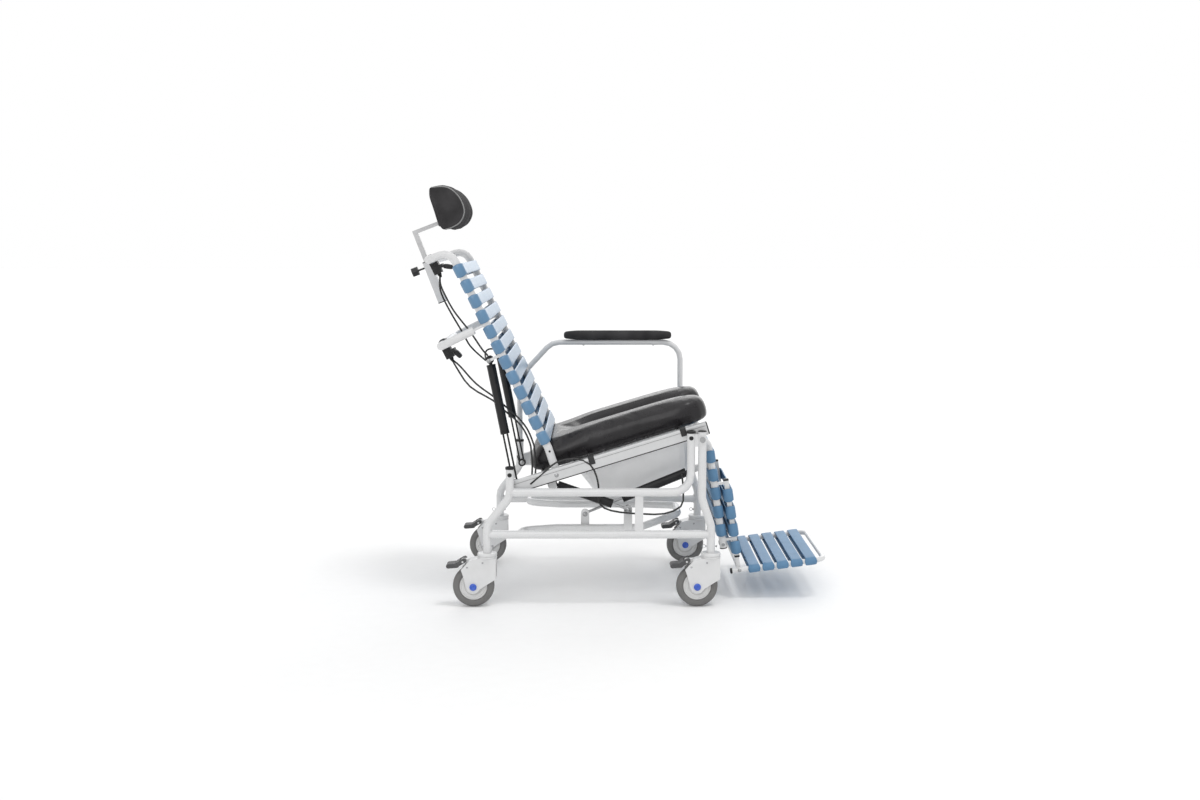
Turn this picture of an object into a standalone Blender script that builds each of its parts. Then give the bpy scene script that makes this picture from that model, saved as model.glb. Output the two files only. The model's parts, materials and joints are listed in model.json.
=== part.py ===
"""Tilting shower commode chair: caster base, tilting seat, reclining back, elevating legrest.

Metres, +Z up, +X to the front of the chair, +Y to its left. The floor is Z = 0.
"""

import math

import bmesh
import bpy
from mathutils import Matrix, Vector

# Clearances
FIT = 0.0003
RUNNING = 0.0025

# Cushion's half width, from which the canes, rails and side frames take their places
CUSHION_HALF_W = 0.222
CUSHION_SIDE_GAP = 0.0103
SIDE_GAP = 0.0023

# Round tube of the base, back and legrest
TUBE_R = 0.0127
TUBE_SIDES = 12
ARC_STEP = math.radians(25)

# Places across the chair
RAIL_SIZE = (0.020, 0.038)
CANE_Y = CUSHION_HALF_W + CUSHION_SIDE_GAP + TUBE_R
RAIL_Y = CANE_Y + TUBE_R + SIDE_GAP + RAIL_SIZE[0] / 2
SIDE_Y = RAIL_Y + RAIL_SIZE[0] / 2 + SIDE_GAP + TUBE_R

# Base side frames, in the planes Y = +-SIDE_Y
REAR_LEG_X = -0.3925
REAR_POST_X = -0.323
REAR_POST_TOP = 0.425
REAR_LEG_BEND_Z = (0.2485, 0.335)
FRONT_POST_X = 0.2265
FRONT_LEG_X = 0.288
FRONT_LEG_TOP_X = 0.2605
FRONT_LEG_BEND_Z = (0.330, 0.248)
FRONT_TOP = 0.535
UPPER_RAIL_Z = 0.3495
LOWER_RAIL_Z = 0.2203
LEG_BEND = 0.045
RAIL_BEND = 0.056
JOINT_SINK = 0.004
MIDDLE_POST_X = 0.0695
MIDDLE_POST_SIZE = (0.025, 0.010)
GUSSET_THICK = 0.008
GUSSET_Z = (0.490, 0.528)

# Bowed brace between the lower rails
BRACE_R = 0.0115
BRACE_REAR_X = -0.2915
BRACE_SIDE_Y = 0.195
BRACE_SIDE_X = (-0.185, 0.070)
BRACE_FRONT_X = 0.200
BRACE_FRONT_Y = 0.070
BRACE_FRONT_RISE = 0.020
BRACE_BEND = 0.050

# Casters
COLLAR_R = 0.0285
COLLAR_H = 0.016
STEM_R = 0.0052
STEM_LENGTH = 0.028
TRAIL = 0.042
WHEEL_R = 0.0635
WHEEL_HALF_W = 0.015
HUB_DISC_R = 0.042
HUB_DISC_HALF_W = 0.010
HUB_BOSS_R = 0.014
AXLE_R = 0.004
AXLE_CAP_R = 0.010
AXLE_CAP_H = 0.0035
FORK_PLATE = 0.006
FORK_GAP = 0.0035
FORK_AXLE_R = 0.021
FORK_FRONT_X = 0.027
FORK_SKIRT = 0.042
FORK_CROWN = 0.0195
FORK_SLOT_REAR_X = -0.062
FORK_HOOD = ((-0.030, 0.0), (-0.054, -0.0066), (-0.079, -0.0345), (-0.074, -0.0484))
CASTER_TOP = 2 * WHEEL_R + RUNNING + FORK_CROWN + COLLAR_H
PEDAL_PIVOT_X = -0.074
PEDAL_PIVOT_Z = CASTER_TOP - 0.025
PEDAL_PIN_R = 0.003
PEDAL_TONGUE_R = 0.0065
PEDAL_TONGUE_HALF_W = 0.0095
PEDAL_HALF_W = 0.022
PEDAL_FRONT_LOBE = ((-0.017, -0.009), (0.005, 0.004))
PEDAL_REAR_LOBE = ((-0.044, -0.0135), (-0.017, -0.0115))
PEDAL_LOBE_R = 0.0065

# Knee bolts: the seat and the legrest turn on them
KNEE = Vector((FRONT_LEG_TOP_X, 0, 0.512))
KNEE_BOLT_R = 0.005
KNEE_HEAD_R = 0.009
KNEE_HEAD_H = 0.005
KNEE_BOSS_R = 0.013

# Seat frame, along the tilted seat, measured from the knee bolts
SEAT_ANGLE = math.radians(17.2)
RAIL_X = (-0.6035, 0.0245)
RAIL_Z = 0.0255
SEAT_TUBE_R = 0.0095
SEAT_TUBE_X = (-0.500, -0.060)

# Cushion, on the seat's cross tubes
CUSHION_X = (-0.5206, 0.0444)
CUSHION_THICK = 0.082
CUSHION_REAR_CORNER = 0.070
APERTURE_HALF_W = 0.056
APERTURE_REAR_X = -0.350
CUSHION_STRAP_GAP = 0.003

# Commode pan on its runners
PAN_TOP_X = (-0.405, -0.030)
PAN_BOTTOM_X = (-0.360, -0.058)
PAN_HALF_W = 0.135
PAN_BOTTOM_HALF_W = 0.118
PAN_DEPTH = 0.124
PAN_WALL = 0.003
PAN_RIM = 0.018
PAN_LIP = 0.006
PAN_CORNER = 0.035
PAN_TOP_Z = 0.0085
RUNNER_HEIGHT = 0.006
HANGER_THICK = 0.004

# Back frame, measured from the back hinge along the upper cane
BACK_ANGLE = math.radians(26.2)
BACK_HINGE_X = -0.4555
HINGE_PIN_R = 0.005
CANE_X = 0.011
CANE_KNEE_Z = 0.080
CANE_END = 0.018
CANE_TOP_Z = 0.749
PUSH_BAR_X = -0.065
PUSH_BAR_RISE = 0.008
CANE_BEND = 0.038
HANDLE_X = -0.150
HANDLE_BEND = 0.045
LUG_THICK = 0.008
HANDLE_LUG_LENGTH = 0.030

# Straps of the back
STRAP_COUNT = 12
STRAP_FIRST_Z = 0.116
STRAP_SPACING = 0.0517
STRAP_WIDTH = 0.040
STRAP_THICK = 0.0045
STRAP_STEPS = 4
POST_STRAP_STEPS = 6
SPRING_LUG_GAP = 5.5
HANDLE_LUG_GAP = 7.5

# Recline springs between the seat's rear end and the back
RECLINE_Y = 0.205
RECLINE_LUG_X = -0.0325
RECLINE_SEAT_X = -0.5906
RECLINE_CYLINDER_R = 0.014
RECLINE_CYLINDER_LENGTH = 0.218
TWIN_ROD_R = 0.003
TWIN_ROD_SPREAD = 0.0065
ROD_R = 0.004
EYE_R = 0.013
EYE_THICK = 0.012
SPRING_PIN_R = 0.0035
SPRING_NECK = 0.016
SPRING_NECK_R = 0.0054
SPRING_END_WALL = 0.010
RECLINE_ENGAGED = 0.080

# Tilt spring between the seat and the brace
TILT_Y = -0.218
TILT_SEAT = (-0.4785, -0.0068)
TILT_BASE = Vector((0.0375, 0, 0.283))
TILT_CYLINDER_R = 0.0135
TILT_CYLINDER_LENGTH = 0.178
TILT_ENGAGED = 0.130

# Legrest spring between the brace and the legrest
LEGREST_SPRING_Y = -0.172
LEGREST_SPRING_BASE = Vector((-0.0955, 0, 0.262))
LEGREST_SPRING_TOP = Vector((0.2345, 0, 0.397))
LEGREST_CYLINDER_R = 0.014
LEGREST_CYLINDER_LENGTH = 0.215
LEGREST_ENGAGED = 0.145

# Headrest, on a post that slides in a socket of the back
HEADREST_LEAN = math.radians(5.0)
SOCKET_CENTRE = (-0.1007, 0.693)
SOCKET_OUTER = 0.026
SOCKET_LENGTH = 0.135
SOCKET_BRACKET = 0.014
POST_SIZE = 0.015
POST_DROP = 0.060
POST_TOP = 0.1756
HEAD_ARM_END_X = 0.0794
HEAD_ARM_THICK = 0.012
PAD_LEAN = math.radians(7.0)
PAD_BACK_X = 0.004
PAD_DEPTH = 0.091
PAD_HEIGHT = 0.137
PAD_DROP = 0.0365
PAD_HALF_W = 0.150
PAD_END_ROUND = 0.010
PAD_PROFILE = (
    (0.0, 0.07),
    (0.0, 0.93),
    (0.04, 0.98),
    (0.14, 1.0),
    (0.44, 0.985),
    (0.66, 0.945),
    (0.83, 0.84),
    (0.955, 0.67),
    (1.0, 0.46),
    (0.96, 0.30),
    (0.84, 0.165),
    (0.655, 0.065),
    (0.385, 0.01),
    (0.14, 0.0),
    (0.04, 0.02),
)
KNOB_Z = 0.052
KNOB_R = 0.015
KNOB_LENGTH = 0.021
KNOB_STAND = 0.0225
KNOB_SCREW_R = 0.003
KNOB_LOBES = 6

# Release levers under the push bar and under the lower handle
LEVER_Y = -0.100
LEVER_HALF_W = 0.0215
LEVER_DEPTH = 0.026
LEVER_HEIGHT = 0.036
LEVER_CLAMP_WALL = 0.004
LEVER_EAR = 0.0055
LEVER_PIN_DROP = 0.018
LEVER_PIN_R = 0.002
TRIGGER_KNUCKLE_R = 0.005
RECLINE_TRIGGER_TIP = (0.030, -0.020)
TILT_TRIGGER_TIP = (0.010, -0.028)
TRIGGER_THICK = 0.006

# Cables, with routes in the chair's own frame
CABLE_R = 0.0028
CABLE_SIDES = 5
FERRULE_R = 0.0065
FERRULE_LENGTH = 0.012
RECLINE_ROUTE_NEAR = (
    (-0.5490, -0.104, 0.976),
    (-0.5360, -0.115, 0.946),
    (-0.5035, -0.140, 0.892),
    (-0.4532, -0.175, 0.8335),
    (-0.4361, -0.190, 0.8117),
    (-0.4110, -0.203, 0.7770),
)
RECLINE_ROUTE_FAR = (
    (-0.5520, -0.099, 0.972),
    (-0.5454, -0.100, 0.9414),
    (-0.5211, -0.100, 0.8915),
    (-0.4808, -0.090, 0.8197),
    (-0.4600, -0.060, 0.7760),
    (-0.4250, 0.030, 0.7280),
    (-0.4270, 0.130, 0.7180),
    (-0.4320, 0.185, 0.7350),
    (-0.4220, 0.203, 0.7455),
)
TILT_ROUTE_FIRST = (
    (-0.5010, -0.104, 0.7130),
    (-0.4562, -0.135, 0.6557),
    (-0.3820, -0.165, 0.6153),
    (-0.3503, -0.175, 0.5885),
    (-0.3124, -0.185, 0.5588),
    (-0.2840, -0.195, 0.5261),
    (-0.2650, -0.205, 0.4843),
    (-0.2617, -0.210, 0.4604),
    (-0.2583, -0.217, 0.4276),
    (-0.2589, -0.228, 0.3921),
    (-0.2620, -0.246, 0.3780),
)
TILT_ROUTE_SECOND = (
    (-0.4880, -0.098, 0.7140),
    (-0.4380, -0.126, 0.6640),
    (-0.3740, -0.153, 0.6210),
    (-0.3400, -0.164, 0.5935),
    (-0.3030, -0.174, 0.5620),
    (-0.2745, -0.184, 0.5275),
    (-0.2555, -0.194, 0.4843),
    (-0.2515, -0.200, 0.4604),
    (-0.2480, -0.207, 0.4276),
    (-0.2485, -0.220, 0.3960),
    (-0.2510, -0.246, 0.3815),
)
LEGREST_ROUTE = (
    (-0.2613, -0.2832, 0.3720),
    (-0.2159, -0.2832, 0.4113),
    (-0.1826, -0.2832, 0.4386),
    (-0.1251, -0.2832, 0.4507),
    (-0.0797, -0.2832, 0.4325),
    (-0.0600, -0.2832, 0.3960),
    (-0.0535, -0.269, 0.3580),
    (-0.0540, -0.255, 0.3180),
    (-0.0360, -0.247, 0.2920),
    (0.0119, -0.243, 0.2784),
    (0.0854, -0.240, 0.2723),
    (0.1496, -0.236, 0.2723),
    (0.2000, -0.230, 0.2937),
    (0.2080, -0.226, 0.3334),
    (0.2052, -0.206, 0.3820),
)
LEGREST_CABLE_END = 0.032

# Armrest on the left: two posts plug into the base
ARM_R = 0.0095
ARM_PLUG = 0.050
ARM_TOP_Z = 0.762
ARM_BEND = 0.058
ARM_SLOPE_X = -0.212
ARM_SLOPE_Z = 0.642
ARM_PAD_X = (-0.175, 0.1995)
ARM_PAD_HALF_W = 0.027
ARM_PAD_THICK = 0.030
ARM_PAD_ROUND = 0.009

# Legrest, measured from the knee bolts along the calf bars
LEG_ANGLE = math.radians(8.5)
CALF_Y = 0.190
CALF_R = 0.011
LEG_ARM_GAP = 0.004
LEG_ARM_Y = RAIL_Y - RAIL_SIZE[0] / 2 - LEG_ARM_GAP - CALF_R
CALF_X = 0.022
CALF_Z = (-0.037, -0.362)
CALF_BEND = 0.022
CALF_STRAPS = 5
CALF_STRAP_Z = -0.0725
CALF_STRAP_SPACING = 0.0583
CALF_STRAP_WIDTH = 0.038
CALF_TUBE_R = 0.006
CALF_TUBE_Z = (-0.1017, -0.345)
SHIN_X = 0.060
SHIN_SIZE = 0.015
SHIN_WALL = 0.0018
SHIN_Z = (-0.155, -0.392)
SHIN_STRAPS = 4
SHIN_STRAP_Z = -0.2001
SHIN_STRAP_SPACING = 0.0552
SHIN_BRACKET_Z = (-0.161, -0.338)
SHIN_BRACKET = (0.009, 0.008)
STRAP_LINK = (0.020, 0.0025)
LEVER_PLATE = 0.012

# Footrest, on a hanger that slides in the shin posts
HANGER_TOP = -0.250
FOOT_HINGE_Z = -0.436
HANGER_TUBE_R = 0.006
FOOT_ANGLE = math.radians(7.3)
FOOT_Y = 0.2065
FOOT_TUBE_R = 0.008
FOOT_LENGTH = 0.266
FOOT_TAIL = 0.022
FOOT_BEND = 0.030
FOOT_STRAPS = 5
FOOT_STRAP_START = 0.0462
FOOT_STRAP_SPACING = 0.0443
FOOT_STRAP_WIDTH = 0.036
FOOT_PIN_R = 0.004


def clear_scene():
    """Removes every object that the scene starts with."""
    for obj in list(bpy.data.objects):
        bpy.data.objects.remove(obj, do_unlink=True)


def material(name, colour, roughness, metallic=0.0):
    """A Principled BSDF material of one colour."""
    made = bpy.data.materials.new(name)
    made.use_nodes = True
    made.diffuse_color = (*colour, 1.0)
    shader = made.node_tree.nodes["Principled BSDF"]
    shader.inputs["Base Color"].default_value = (*colour, 1.0)
    shader.inputs["Roughness"].default_value = roughness
    shader.inputs["Metallic"].default_value = metallic
    return made


def finished(bm):
    """The mesh of a bmesh, with its faces turned outward and round faces shaded smooth."""
    bmesh.ops.recalc_face_normals(bm, faces=bm.faces)
    mesh = bpy.data.meshes.new("solid")
    bm.to_mesh(mesh)
    bm.free()
    mesh.shade_smooth()
    mesh.set_sharp_from_angle(angle=math.radians(40))
    return mesh


def bent_path(points, bend):
    """The points of a polyline whose inner corners are rounded with the radius bend."""
    points = [Vector(p) for p in points]
    path = [points[0]]
    for before, corner, after in zip(points, points[1:], points[2:]):
        to_before = (before - corner).normalized()
        to_after = (after - corner).normalized()
        turn = math.pi - to_before.angle(to_after)
        if turn < math.radians(1):
            continue
        reach = bend * math.tan(turn / 2)
        centre = corner + (to_before + to_after).normalized() * (bend / math.cos(turn / 2))
        start = corner + to_before * reach - centre
        axis = to_after.cross(to_before).normalized()
        steps = max(2, math.ceil(turn / ARC_STEP))
        for step in range(steps + 1):
            path.append(centre + Matrix.Rotation(turn * step / steps, 3, axis) @ start)
    path.append(points[-1])
    return path


def lofted(rings):
    """A closed mesh through rings of equal length, with a flat face on each end."""
    bm = bmesh.new()
    loops = [[bm.verts.new(point) for point in ring] for ring in rings]
    count = len(loops[0])
    for lower, upper in zip(loops, loops[1:]):
        for i in range(count):
            j = (i + 1) % count
            bm.faces.new((lower[i], lower[j], upper[j], upper[i]))
    bm.faces.new(reversed(loops[0]))
    bm.faces.new(loops[-1])
    return finished(bm)


def swept(path, radius, sides=TUBE_SIDES):
    """A round bar of the given radius along a path."""
    path = [Vector(p) for p in path]
    rings = []
    normal = None
    for i, point in enumerate(path):
        ahead = path[min(i + 1, len(path) - 1)] - point
        behind = point - path[max(i - 1, 0)]
        tangent = (ahead.normalized() + behind.normalized()).normalized()
        if normal is None:
            across = Vector((0, 1, 0))
            if abs(tangent.y) > 0.9:
                across = Vector((1, 0, 0))
            normal = across
        normal = (normal - tangent * normal.dot(tangent)).normalized()
        other = tangent.cross(normal)
        ring = []
        for k in range(sides):
            angle = math.tau * (k + 0.5) / sides
            ring.append(point + radius * (math.cos(angle) * normal + math.sin(angle) * other))
        rings.append(ring)
    return lofted(rings)


def cylinder(start, end, radius, sides=TUBE_SIDES):
    """A straight round bar."""
    return swept([start, end], radius, sides)


def box(low, high):
    """A box between two corners."""
    bm = bmesh.new()
    bmesh.ops.create_cube(bm, size=1.0)
    low, high = Vector(low), Vector(high)
    for vert in bm.verts:
        vert.co = Vector(((vert.co[i] + 0.5) * (high[i] - low[i]) + low[i]) for i in range(3))
    return finished(bm)


def bar(start, end, width_y, width):
    """A rectangular bar in an XZ plane: width_y along Y, width across the bar."""
    start, end = Vector(start), Vector(end)
    along = (end - start).normalized()
    across = Vector((0, 1, 0)).cross(along) * (width / 2)
    side = Vector((0, width_y / 2, 0))
    corners = (across + side, across - side, -across - side, -across + side)
    return lofted([[end_point + c for c in corners] for end_point in (start, end)])


def extruded(outline, low, high, axis="Y"):
    """An outline of pairs, extruded between two levels along Y (pairs are X, Z) or Z (X, Y)."""
    def at(pair, level):
        if axis == "Y":
            return (pair[0], level, pair[1])
        return (pair[0], pair[1], level)
    return lofted([[at(pair, level) for pair in outline] for level in (low, high)])


def arc(centre, radius, start, end, steps):
    """Points on an arc, with angles in degrees."""
    points = []
    for step in range(steps + 1):
        angle = math.radians(start + (end - start) * step / steps)
        points.append((centre[0] + radius * math.cos(angle), centre[1] + radius * math.sin(angle)))
    return points


def lug_plate(foot, tip, y, root_half, sweep=90):
    """A flat lug in an XZ plane, from its foot to a round end about its tip."""
    lean = math.degrees(math.atan2(tip.z - foot.z, tip.x - foot.x))
    outline = arc((tip.x, tip.z), EYE_R, lean - sweep, lean + sweep, 10)
    across = Vector((foot.z - tip.z, 0, tip.x - foot.x)).normalized() * root_half
    outline += [(foot.x + across.x, foot.z + across.z), (foot.x - across.x, foot.z - across.z)]
    return extruded(outline, y - LUG_THICK / 2, y + LUG_THICK / 2)


def turned(profile, steps=20):
    """A closed profile of (radius, Y) pairs, turned about the Y axis."""
    bm = bmesh.new()
    loops = []
    for step in range(steps):
        angle = math.tau * step / steps
        loops.append([bm.verts.new((r * math.cos(angle), y, r * math.sin(angle))) for r, y in profile])
    count = len(profile)
    for a, b in zip(loops, loops[1:] + loops[:1]):
        for i in range(count):
            j = (i + 1) % count
            bm.faces.new((a[i], a[j], b[j], b[i]))
    return finished(bm)


def moved(mesh, matrix):
    """The mesh, transformed."""
    mesh.transform(matrix)
    return mesh


def combined(solids, cutters=()):
    """One mesh: the union of the solids, less the cutters."""
    helpers = []
    for mesh in (*solids, *cutters):
        helper = bpy.data.objects.new("helper", mesh)
        helper.hide_render = True
        helper.display_type = "WIRE"
        bpy.context.scene.collection.objects.link(helper)
        helpers.append(helper)
    first = helpers[0]
    for i, helper in enumerate(helpers[1:], start=1):
        step = first.modifiers.new("step", "BOOLEAN")
        step.operation = "UNION" if i < len(solids) else "DIFFERENCE"
        step.solver = "EXACT"
        step.object = helper
    bpy.context.view_layer.update()
    graph = bpy.context.evaluated_depsgraph_get()
    result = bpy.data.meshes.new_from_object(first.evaluated_get(graph))
    for helper in helpers:
        bpy.data.objects.remove(helper, do_unlink=True)
    bm = bmesh.new()
    bm.from_mesh(result)
    bmesh.ops.remove_doubles(bm, verts=bm.verts, dist=0.00001)
    bmesh.ops.dissolve_degenerate(bm, edges=bm.edges, dist=0.00001)
    return finished(bm)


def placed(name, mesh, finish, parent=None, location=(0, 0, 0), turn_y=0.0):
    """The named object of a node."""
    mesh.name = name
    if not mesh.materials:
        mesh.materials.append(finish)
    obj = bpy.data.objects.new(name, mesh)
    obj.parent = parent
    obj.location = location
    obj.rotation_euler = (0, turn_y, 0)
    bpy.context.scene.collection.objects.link(obj)
    return obj


def pivot(name, location, turn_y=0.0, parent=None):
    """An empty on a joint's axis."""
    obj = bpy.data.objects.new(name, None)
    obj.empty_display_size = 0.03
    obj.location = location
    obj.rotation_euler = (0, turn_y, 0)
    obj.parent = parent
    bpy.context.scene.collection.objects.link(obj)
    return obj


def in_frame(point, origin, lean):
    """World X, Z of a local (x, z) whose +x is turned up by lean about origin."""
    x, z = point
    world_x = origin.x + x * math.cos(lean) - z * math.sin(lean)
    world_z = origin.z + x * math.sin(lean) + z * math.cos(lean)
    return Vector((world_x, 0, world_z))


clear_scene()

WHITE = material("white_powder_coat", (0.78, 0.79, 0.80), 0.35)
CASTER_WHITE = material("white_plastic", (0.80, 0.81, 0.82), 0.4)
TYRE_GREY = material("grey_rubber", (0.16, 0.155, 0.15), 0.7)
DARK = material("dark_plastic", (0.05, 0.05, 0.055), 0.5)
BLACK = material("black_metal", (0.015, 0.015, 0.016), 0.35)
STEEL = material("steel", (0.55, 0.56, 0.57), 0.3, 1.0)
VINYL = material("black_vinyl", (0.04, 0.037, 0.039), 0.42)
BLUE = material("blue_strap", (0.13, 0.27, 0.50), 0.4)
PAN_PLASTIC = material("pale_plastic", (0.72, 0.73, 0.72), 0.4)
ALUMINIUM = material("grey_bar", (0.52, 0.53, 0.54), 0.4, 0.6)

BACK_HINGE = in_frame((BACK_HINGE_X, RAIL_Z), KNEE, SEAT_ANGLE)
SPRING_LUG_Z = STRAP_FIRST_Z + SPRING_LUG_GAP * STRAP_SPACING
HANDLE_LUG_Z = STRAP_FIRST_Z + HANDLE_LUG_GAP * STRAP_SPACING
RAIL_INNER_Y = RAIL_Y - RAIL_SIZE[0] / 2


def base_frame(name, side):
    """One welded side of the base, with its caster and armrest sockets."""
    y = side * SIDE_Y

    def at(x, z):
        return (x, y, z)

    foot = CASTER_TOP + FIT
    rear_leg = (
        at(REAR_LEG_X, foot),
        at(REAR_LEG_X, REAR_LEG_BEND_Z[0]),
        at(REAR_POST_X, REAR_LEG_BEND_Z[1]),
        at(REAR_POST_X, REAR_POST_TOP),
    )
    front_leg = (
        at(FRONT_LEG_TOP_X, FRONT_TOP),
        at(FRONT_LEG_TOP_X, FRONT_LEG_BEND_Z[0]),
        at(FRONT_LEG_X, FRONT_LEG_BEND_Z[1]),
        at(FRONT_LEG_X, foot),
    )
    upper_rail = (
        at(REAR_POST_X + JOINT_SINK, UPPER_RAIL_Z),
        at(FRONT_POST_X, UPPER_RAIL_Z),
        at(FRONT_POST_X, FRONT_TOP),
    )
    lower_rail = (
        at(REAR_LEG_X + JOINT_SINK, LOWER_RAIL_Z),
        at(FRONT_LEG_X - JOINT_SINK, LOWER_RAIL_Z),
    )
    half_x, half_y = MIDDLE_POST_SIZE[0] / 2, MIDDLE_POST_SIZE[1] / 2
    solids = [
        swept(bent_path(rear_leg, LEG_BEND), TUBE_R),
        swept(bent_path(upper_rail, RAIL_BEND), TUBE_R),
        swept(bent_path(front_leg, LEG_BEND), TUBE_R),
        swept(lower_rail, TUBE_R * 0.98),
        box(
            (MIDDLE_POST_X - half_x, y - half_y, LOWER_RAIL_Z),
            (MIDDLE_POST_X + half_x, y + half_y, UPPER_RAIL_Z),
        ),
        box(
            (FRONT_POST_X, y - GUSSET_THICK / 2, GUSSET_Z[0]),
            (FRONT_LEG_TOP_X, y + GUSSET_THICK / 2, GUSSET_Z[1]),
        ),
    ]
    cutters = []
    for x, top in ((REAR_POST_X, REAR_POST_TOP), (FRONT_POST_X, FRONT_TOP)):
        cutters.append(cylinder(at(x, top - ARM_PLUG - FIT), at(x, top + ARM_R), ARM_R + FIT))
    for x in (REAR_LEG_X, FRONT_LEG_X):
        stem_top = CASTER_TOP + STEM_LENGTH + FIT
        cutters.append(cylinder(at(x, foot - STEM_R), at(x, stem_top), STEM_R + FIT))
    inner, outer = y - side * 2 * TUBE_R, y + side * 2 * TUBE_R
    cutters.append(cylinder((KNEE.x, inner, KNEE.z), (KNEE.x, outer, KNEE.z), KNEE_BOLT_R + FIT))
    return placed(name, combined(solids, cutters), WHITE)


def knee_bolt(name, side):
    """The bolt on which the seat and the legrest turn."""
    inner = side * (LEG_ARM_Y - CALF_R - FIT)
    face = side * (SIDE_Y + TUBE_R + FIT)
    shank = cylinder((0, inner, 0), (0, face + side * KNEE_HEAD_H / 2, 0), KNEE_BOLT_R)
    head = cylinder((0, face, 0), (0, face + side * KNEE_HEAD_H, 0), KNEE_HEAD_R)
    return placed(name, combined([shank, head]), STEEL, location=KNEE)


def base_brace():
    """The bowed bar between the lower rails, with the lugs of two springs."""
    end_y = SIDE_Y - TUBE_R - FIT
    front_z = LOWER_RAIL_Z + BRACE_FRONT_RISE
    half = [
        Vector((BRACE_REAR_X, -end_y, LOWER_RAIL_Z)),
        Vector((BRACE_REAR_X, BRACE_BEND - end_y, LOWER_RAIL_Z)),
        Vector((BRACE_SIDE_X[0], -BRACE_SIDE_Y, LOWER_RAIL_Z)),
        Vector((BRACE_SIDE_X[1], -BRACE_SIDE_Y, LOWER_RAIL_Z)),
        Vector((BRACE_FRONT_X, -BRACE_FRONT_Y, front_z)),
    ]
    mirror = [Vector((p.x, -p.y, p.z)) for p in reversed(half)]
    bow = swept(bent_path(half + mirror, BRACE_BEND), BRACE_R)
    tilt_plate_y = TILT_Y + EYE_THICK / 2 + FIT * 2 + LUG_THICK / 2
    leg_plate_y = LEGREST_SPRING_Y - EYE_THICK / 2 - FIT * 2 - LUG_THICK / 2
    foot_z = LOWER_RAIL_Z - BRACE_R / 3
    tilt_foot = Vector((TILT_BASE.x, 0, foot_z))
    leg_foot = Vector((LEGREST_SPRING_BASE.x, 0, foot_z))
    solids = [bow]
    for plate_y, point, foot in (
        (tilt_plate_y, TILT_BASE, tilt_foot),
        (leg_plate_y, LEGREST_SPRING_BASE, leg_foot),
    ):
        solids.append(lug_plate(foot, point, plate_y, EYE_R))
    pin_end = LEGREST_SPRING_Y + EYE_THICK / 2 + FIT * 2
    pin = LEGREST_SPRING_BASE
    solids.append(cylinder((pin.x, leg_plate_y, pin.z), (pin.x, pin_end, pin.z), SPRING_PIN_R))
    return placed("base_brace", combined(solids), WHITE)


def caster_fork_mesh():
    """Hooded fork, collar, stem, axle and pedal tongue of a caster, round its stem on the floor."""
    half = WHEEL_HALF_W + FORK_GAP + FORK_PLATE
    slot = WHEEL_HALF_W + FORK_GAP
    crown_low = 2 * WHEEL_R + RUNNING
    crown_top = CASTER_TOP - COLLAR_H + 0.001
    outline = [(FORK_FRONT_X, crown_top), (FORK_FRONT_X, crown_low - FORK_SKIRT)]
    outline += list(reversed(arc((-TRAIL, WHEEL_R), FORK_AXLE_R, 190, 340, 4)))
    outline += [(x, crown_top + drop) for x, drop in reversed(FORK_HOOD)]
    body = extruded(outline, -half, half)
    collar = cylinder((0, 0, CASTER_TOP - COLLAR_H), (0, 0, CASTER_TOP), COLLAR_R)
    stem = cylinder((0, 0, CASTER_TOP - COLLAR_H), (0, 0, CASTER_TOP + STEM_LENGTH), STEM_R)
    reach = TRAIL + 2 * WHEEL_R
    wheel_slot = box((-reach, -slot, -WHEEL_R), (reach, slot, crown_low + RUNNING))
    rear_slot = box((-reach, -slot, -WHEEL_R), (FORK_SLOT_REAR_X, slot, CASTER_TOP))
    hood = combined([body, collar, stem], [wheel_slot, rear_slot])
    cap_y = half + AXLE_CAP_H
    axle_y = half + AXLE_CAP_H / 2
    axle = cylinder((-TRAIL, -axle_y, WHEEL_R), (-TRAIL, axle_y, WHEEL_R), AXLE_R)
    caps = []
    for side in (-1, 1):
        inner = side * (half - 0.001)
        caps.append(cylinder((-TRAIL, inner, WHEEL_R), (-TRAIL, side * cap_y, WHEEL_R), AXLE_CAP_R))
    pivot_x, pivot_z, width = PEDAL_PIVOT_X, PEDAL_PIVOT_Z, PEDAL_TONGUE_HALF_W
    root_x = FORK_SLOT_REAR_X + PEDAL_TONGUE_R
    tongue = bar((pivot_x, 0, pivot_z), (root_x, 0, pivot_z), 2 * width, 2 * PEDAL_TONGUE_R)
    knuckle = cylinder((pivot_x, -width, pivot_z), (pivot_x, width, pivot_z), PEDAL_TONGUE_R)
    pin_y = PEDAL_HALF_W - FIT
    pin = cylinder((pivot_x, -pin_y, pivot_z), (pivot_x, pin_y, pivot_z), PEDAL_PIN_R)
    return combined([hood, axle, *caps, tongue, knuckle, pin])


def caster_wheel_mesh():
    """Hub with its bonded tyre, about the axle."""
    boss = WHEEL_HALF_W + FORK_GAP - FIT
    half = [
        (AXLE_R + FIT, boss),
        (HUB_BOSS_R, boss),
        (HUB_BOSS_R + 0.002, HUB_DISC_HALF_W),
        (HUB_DISC_R, HUB_DISC_HALF_W),
        (HUB_DISC_R + 0.002, WHEEL_HALF_W - 0.001),
        (WHEEL_R - 0.006, WHEEL_HALF_W),
        (WHEEL_R, WHEEL_HALF_W - 0.008),
    ]
    profile = half + [(r, -y) for r, y in reversed(half)]
    mesh = turned(profile)
    mesh.materials.append(CASTER_WHITE)
    mesh.materials.append(TYRE_GREY)
    for face in mesh.polygons:
        if math.hypot(face.center.x, face.center.z) > HUB_DISC_R:
            face.material_index = 1
    return mesh


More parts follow.
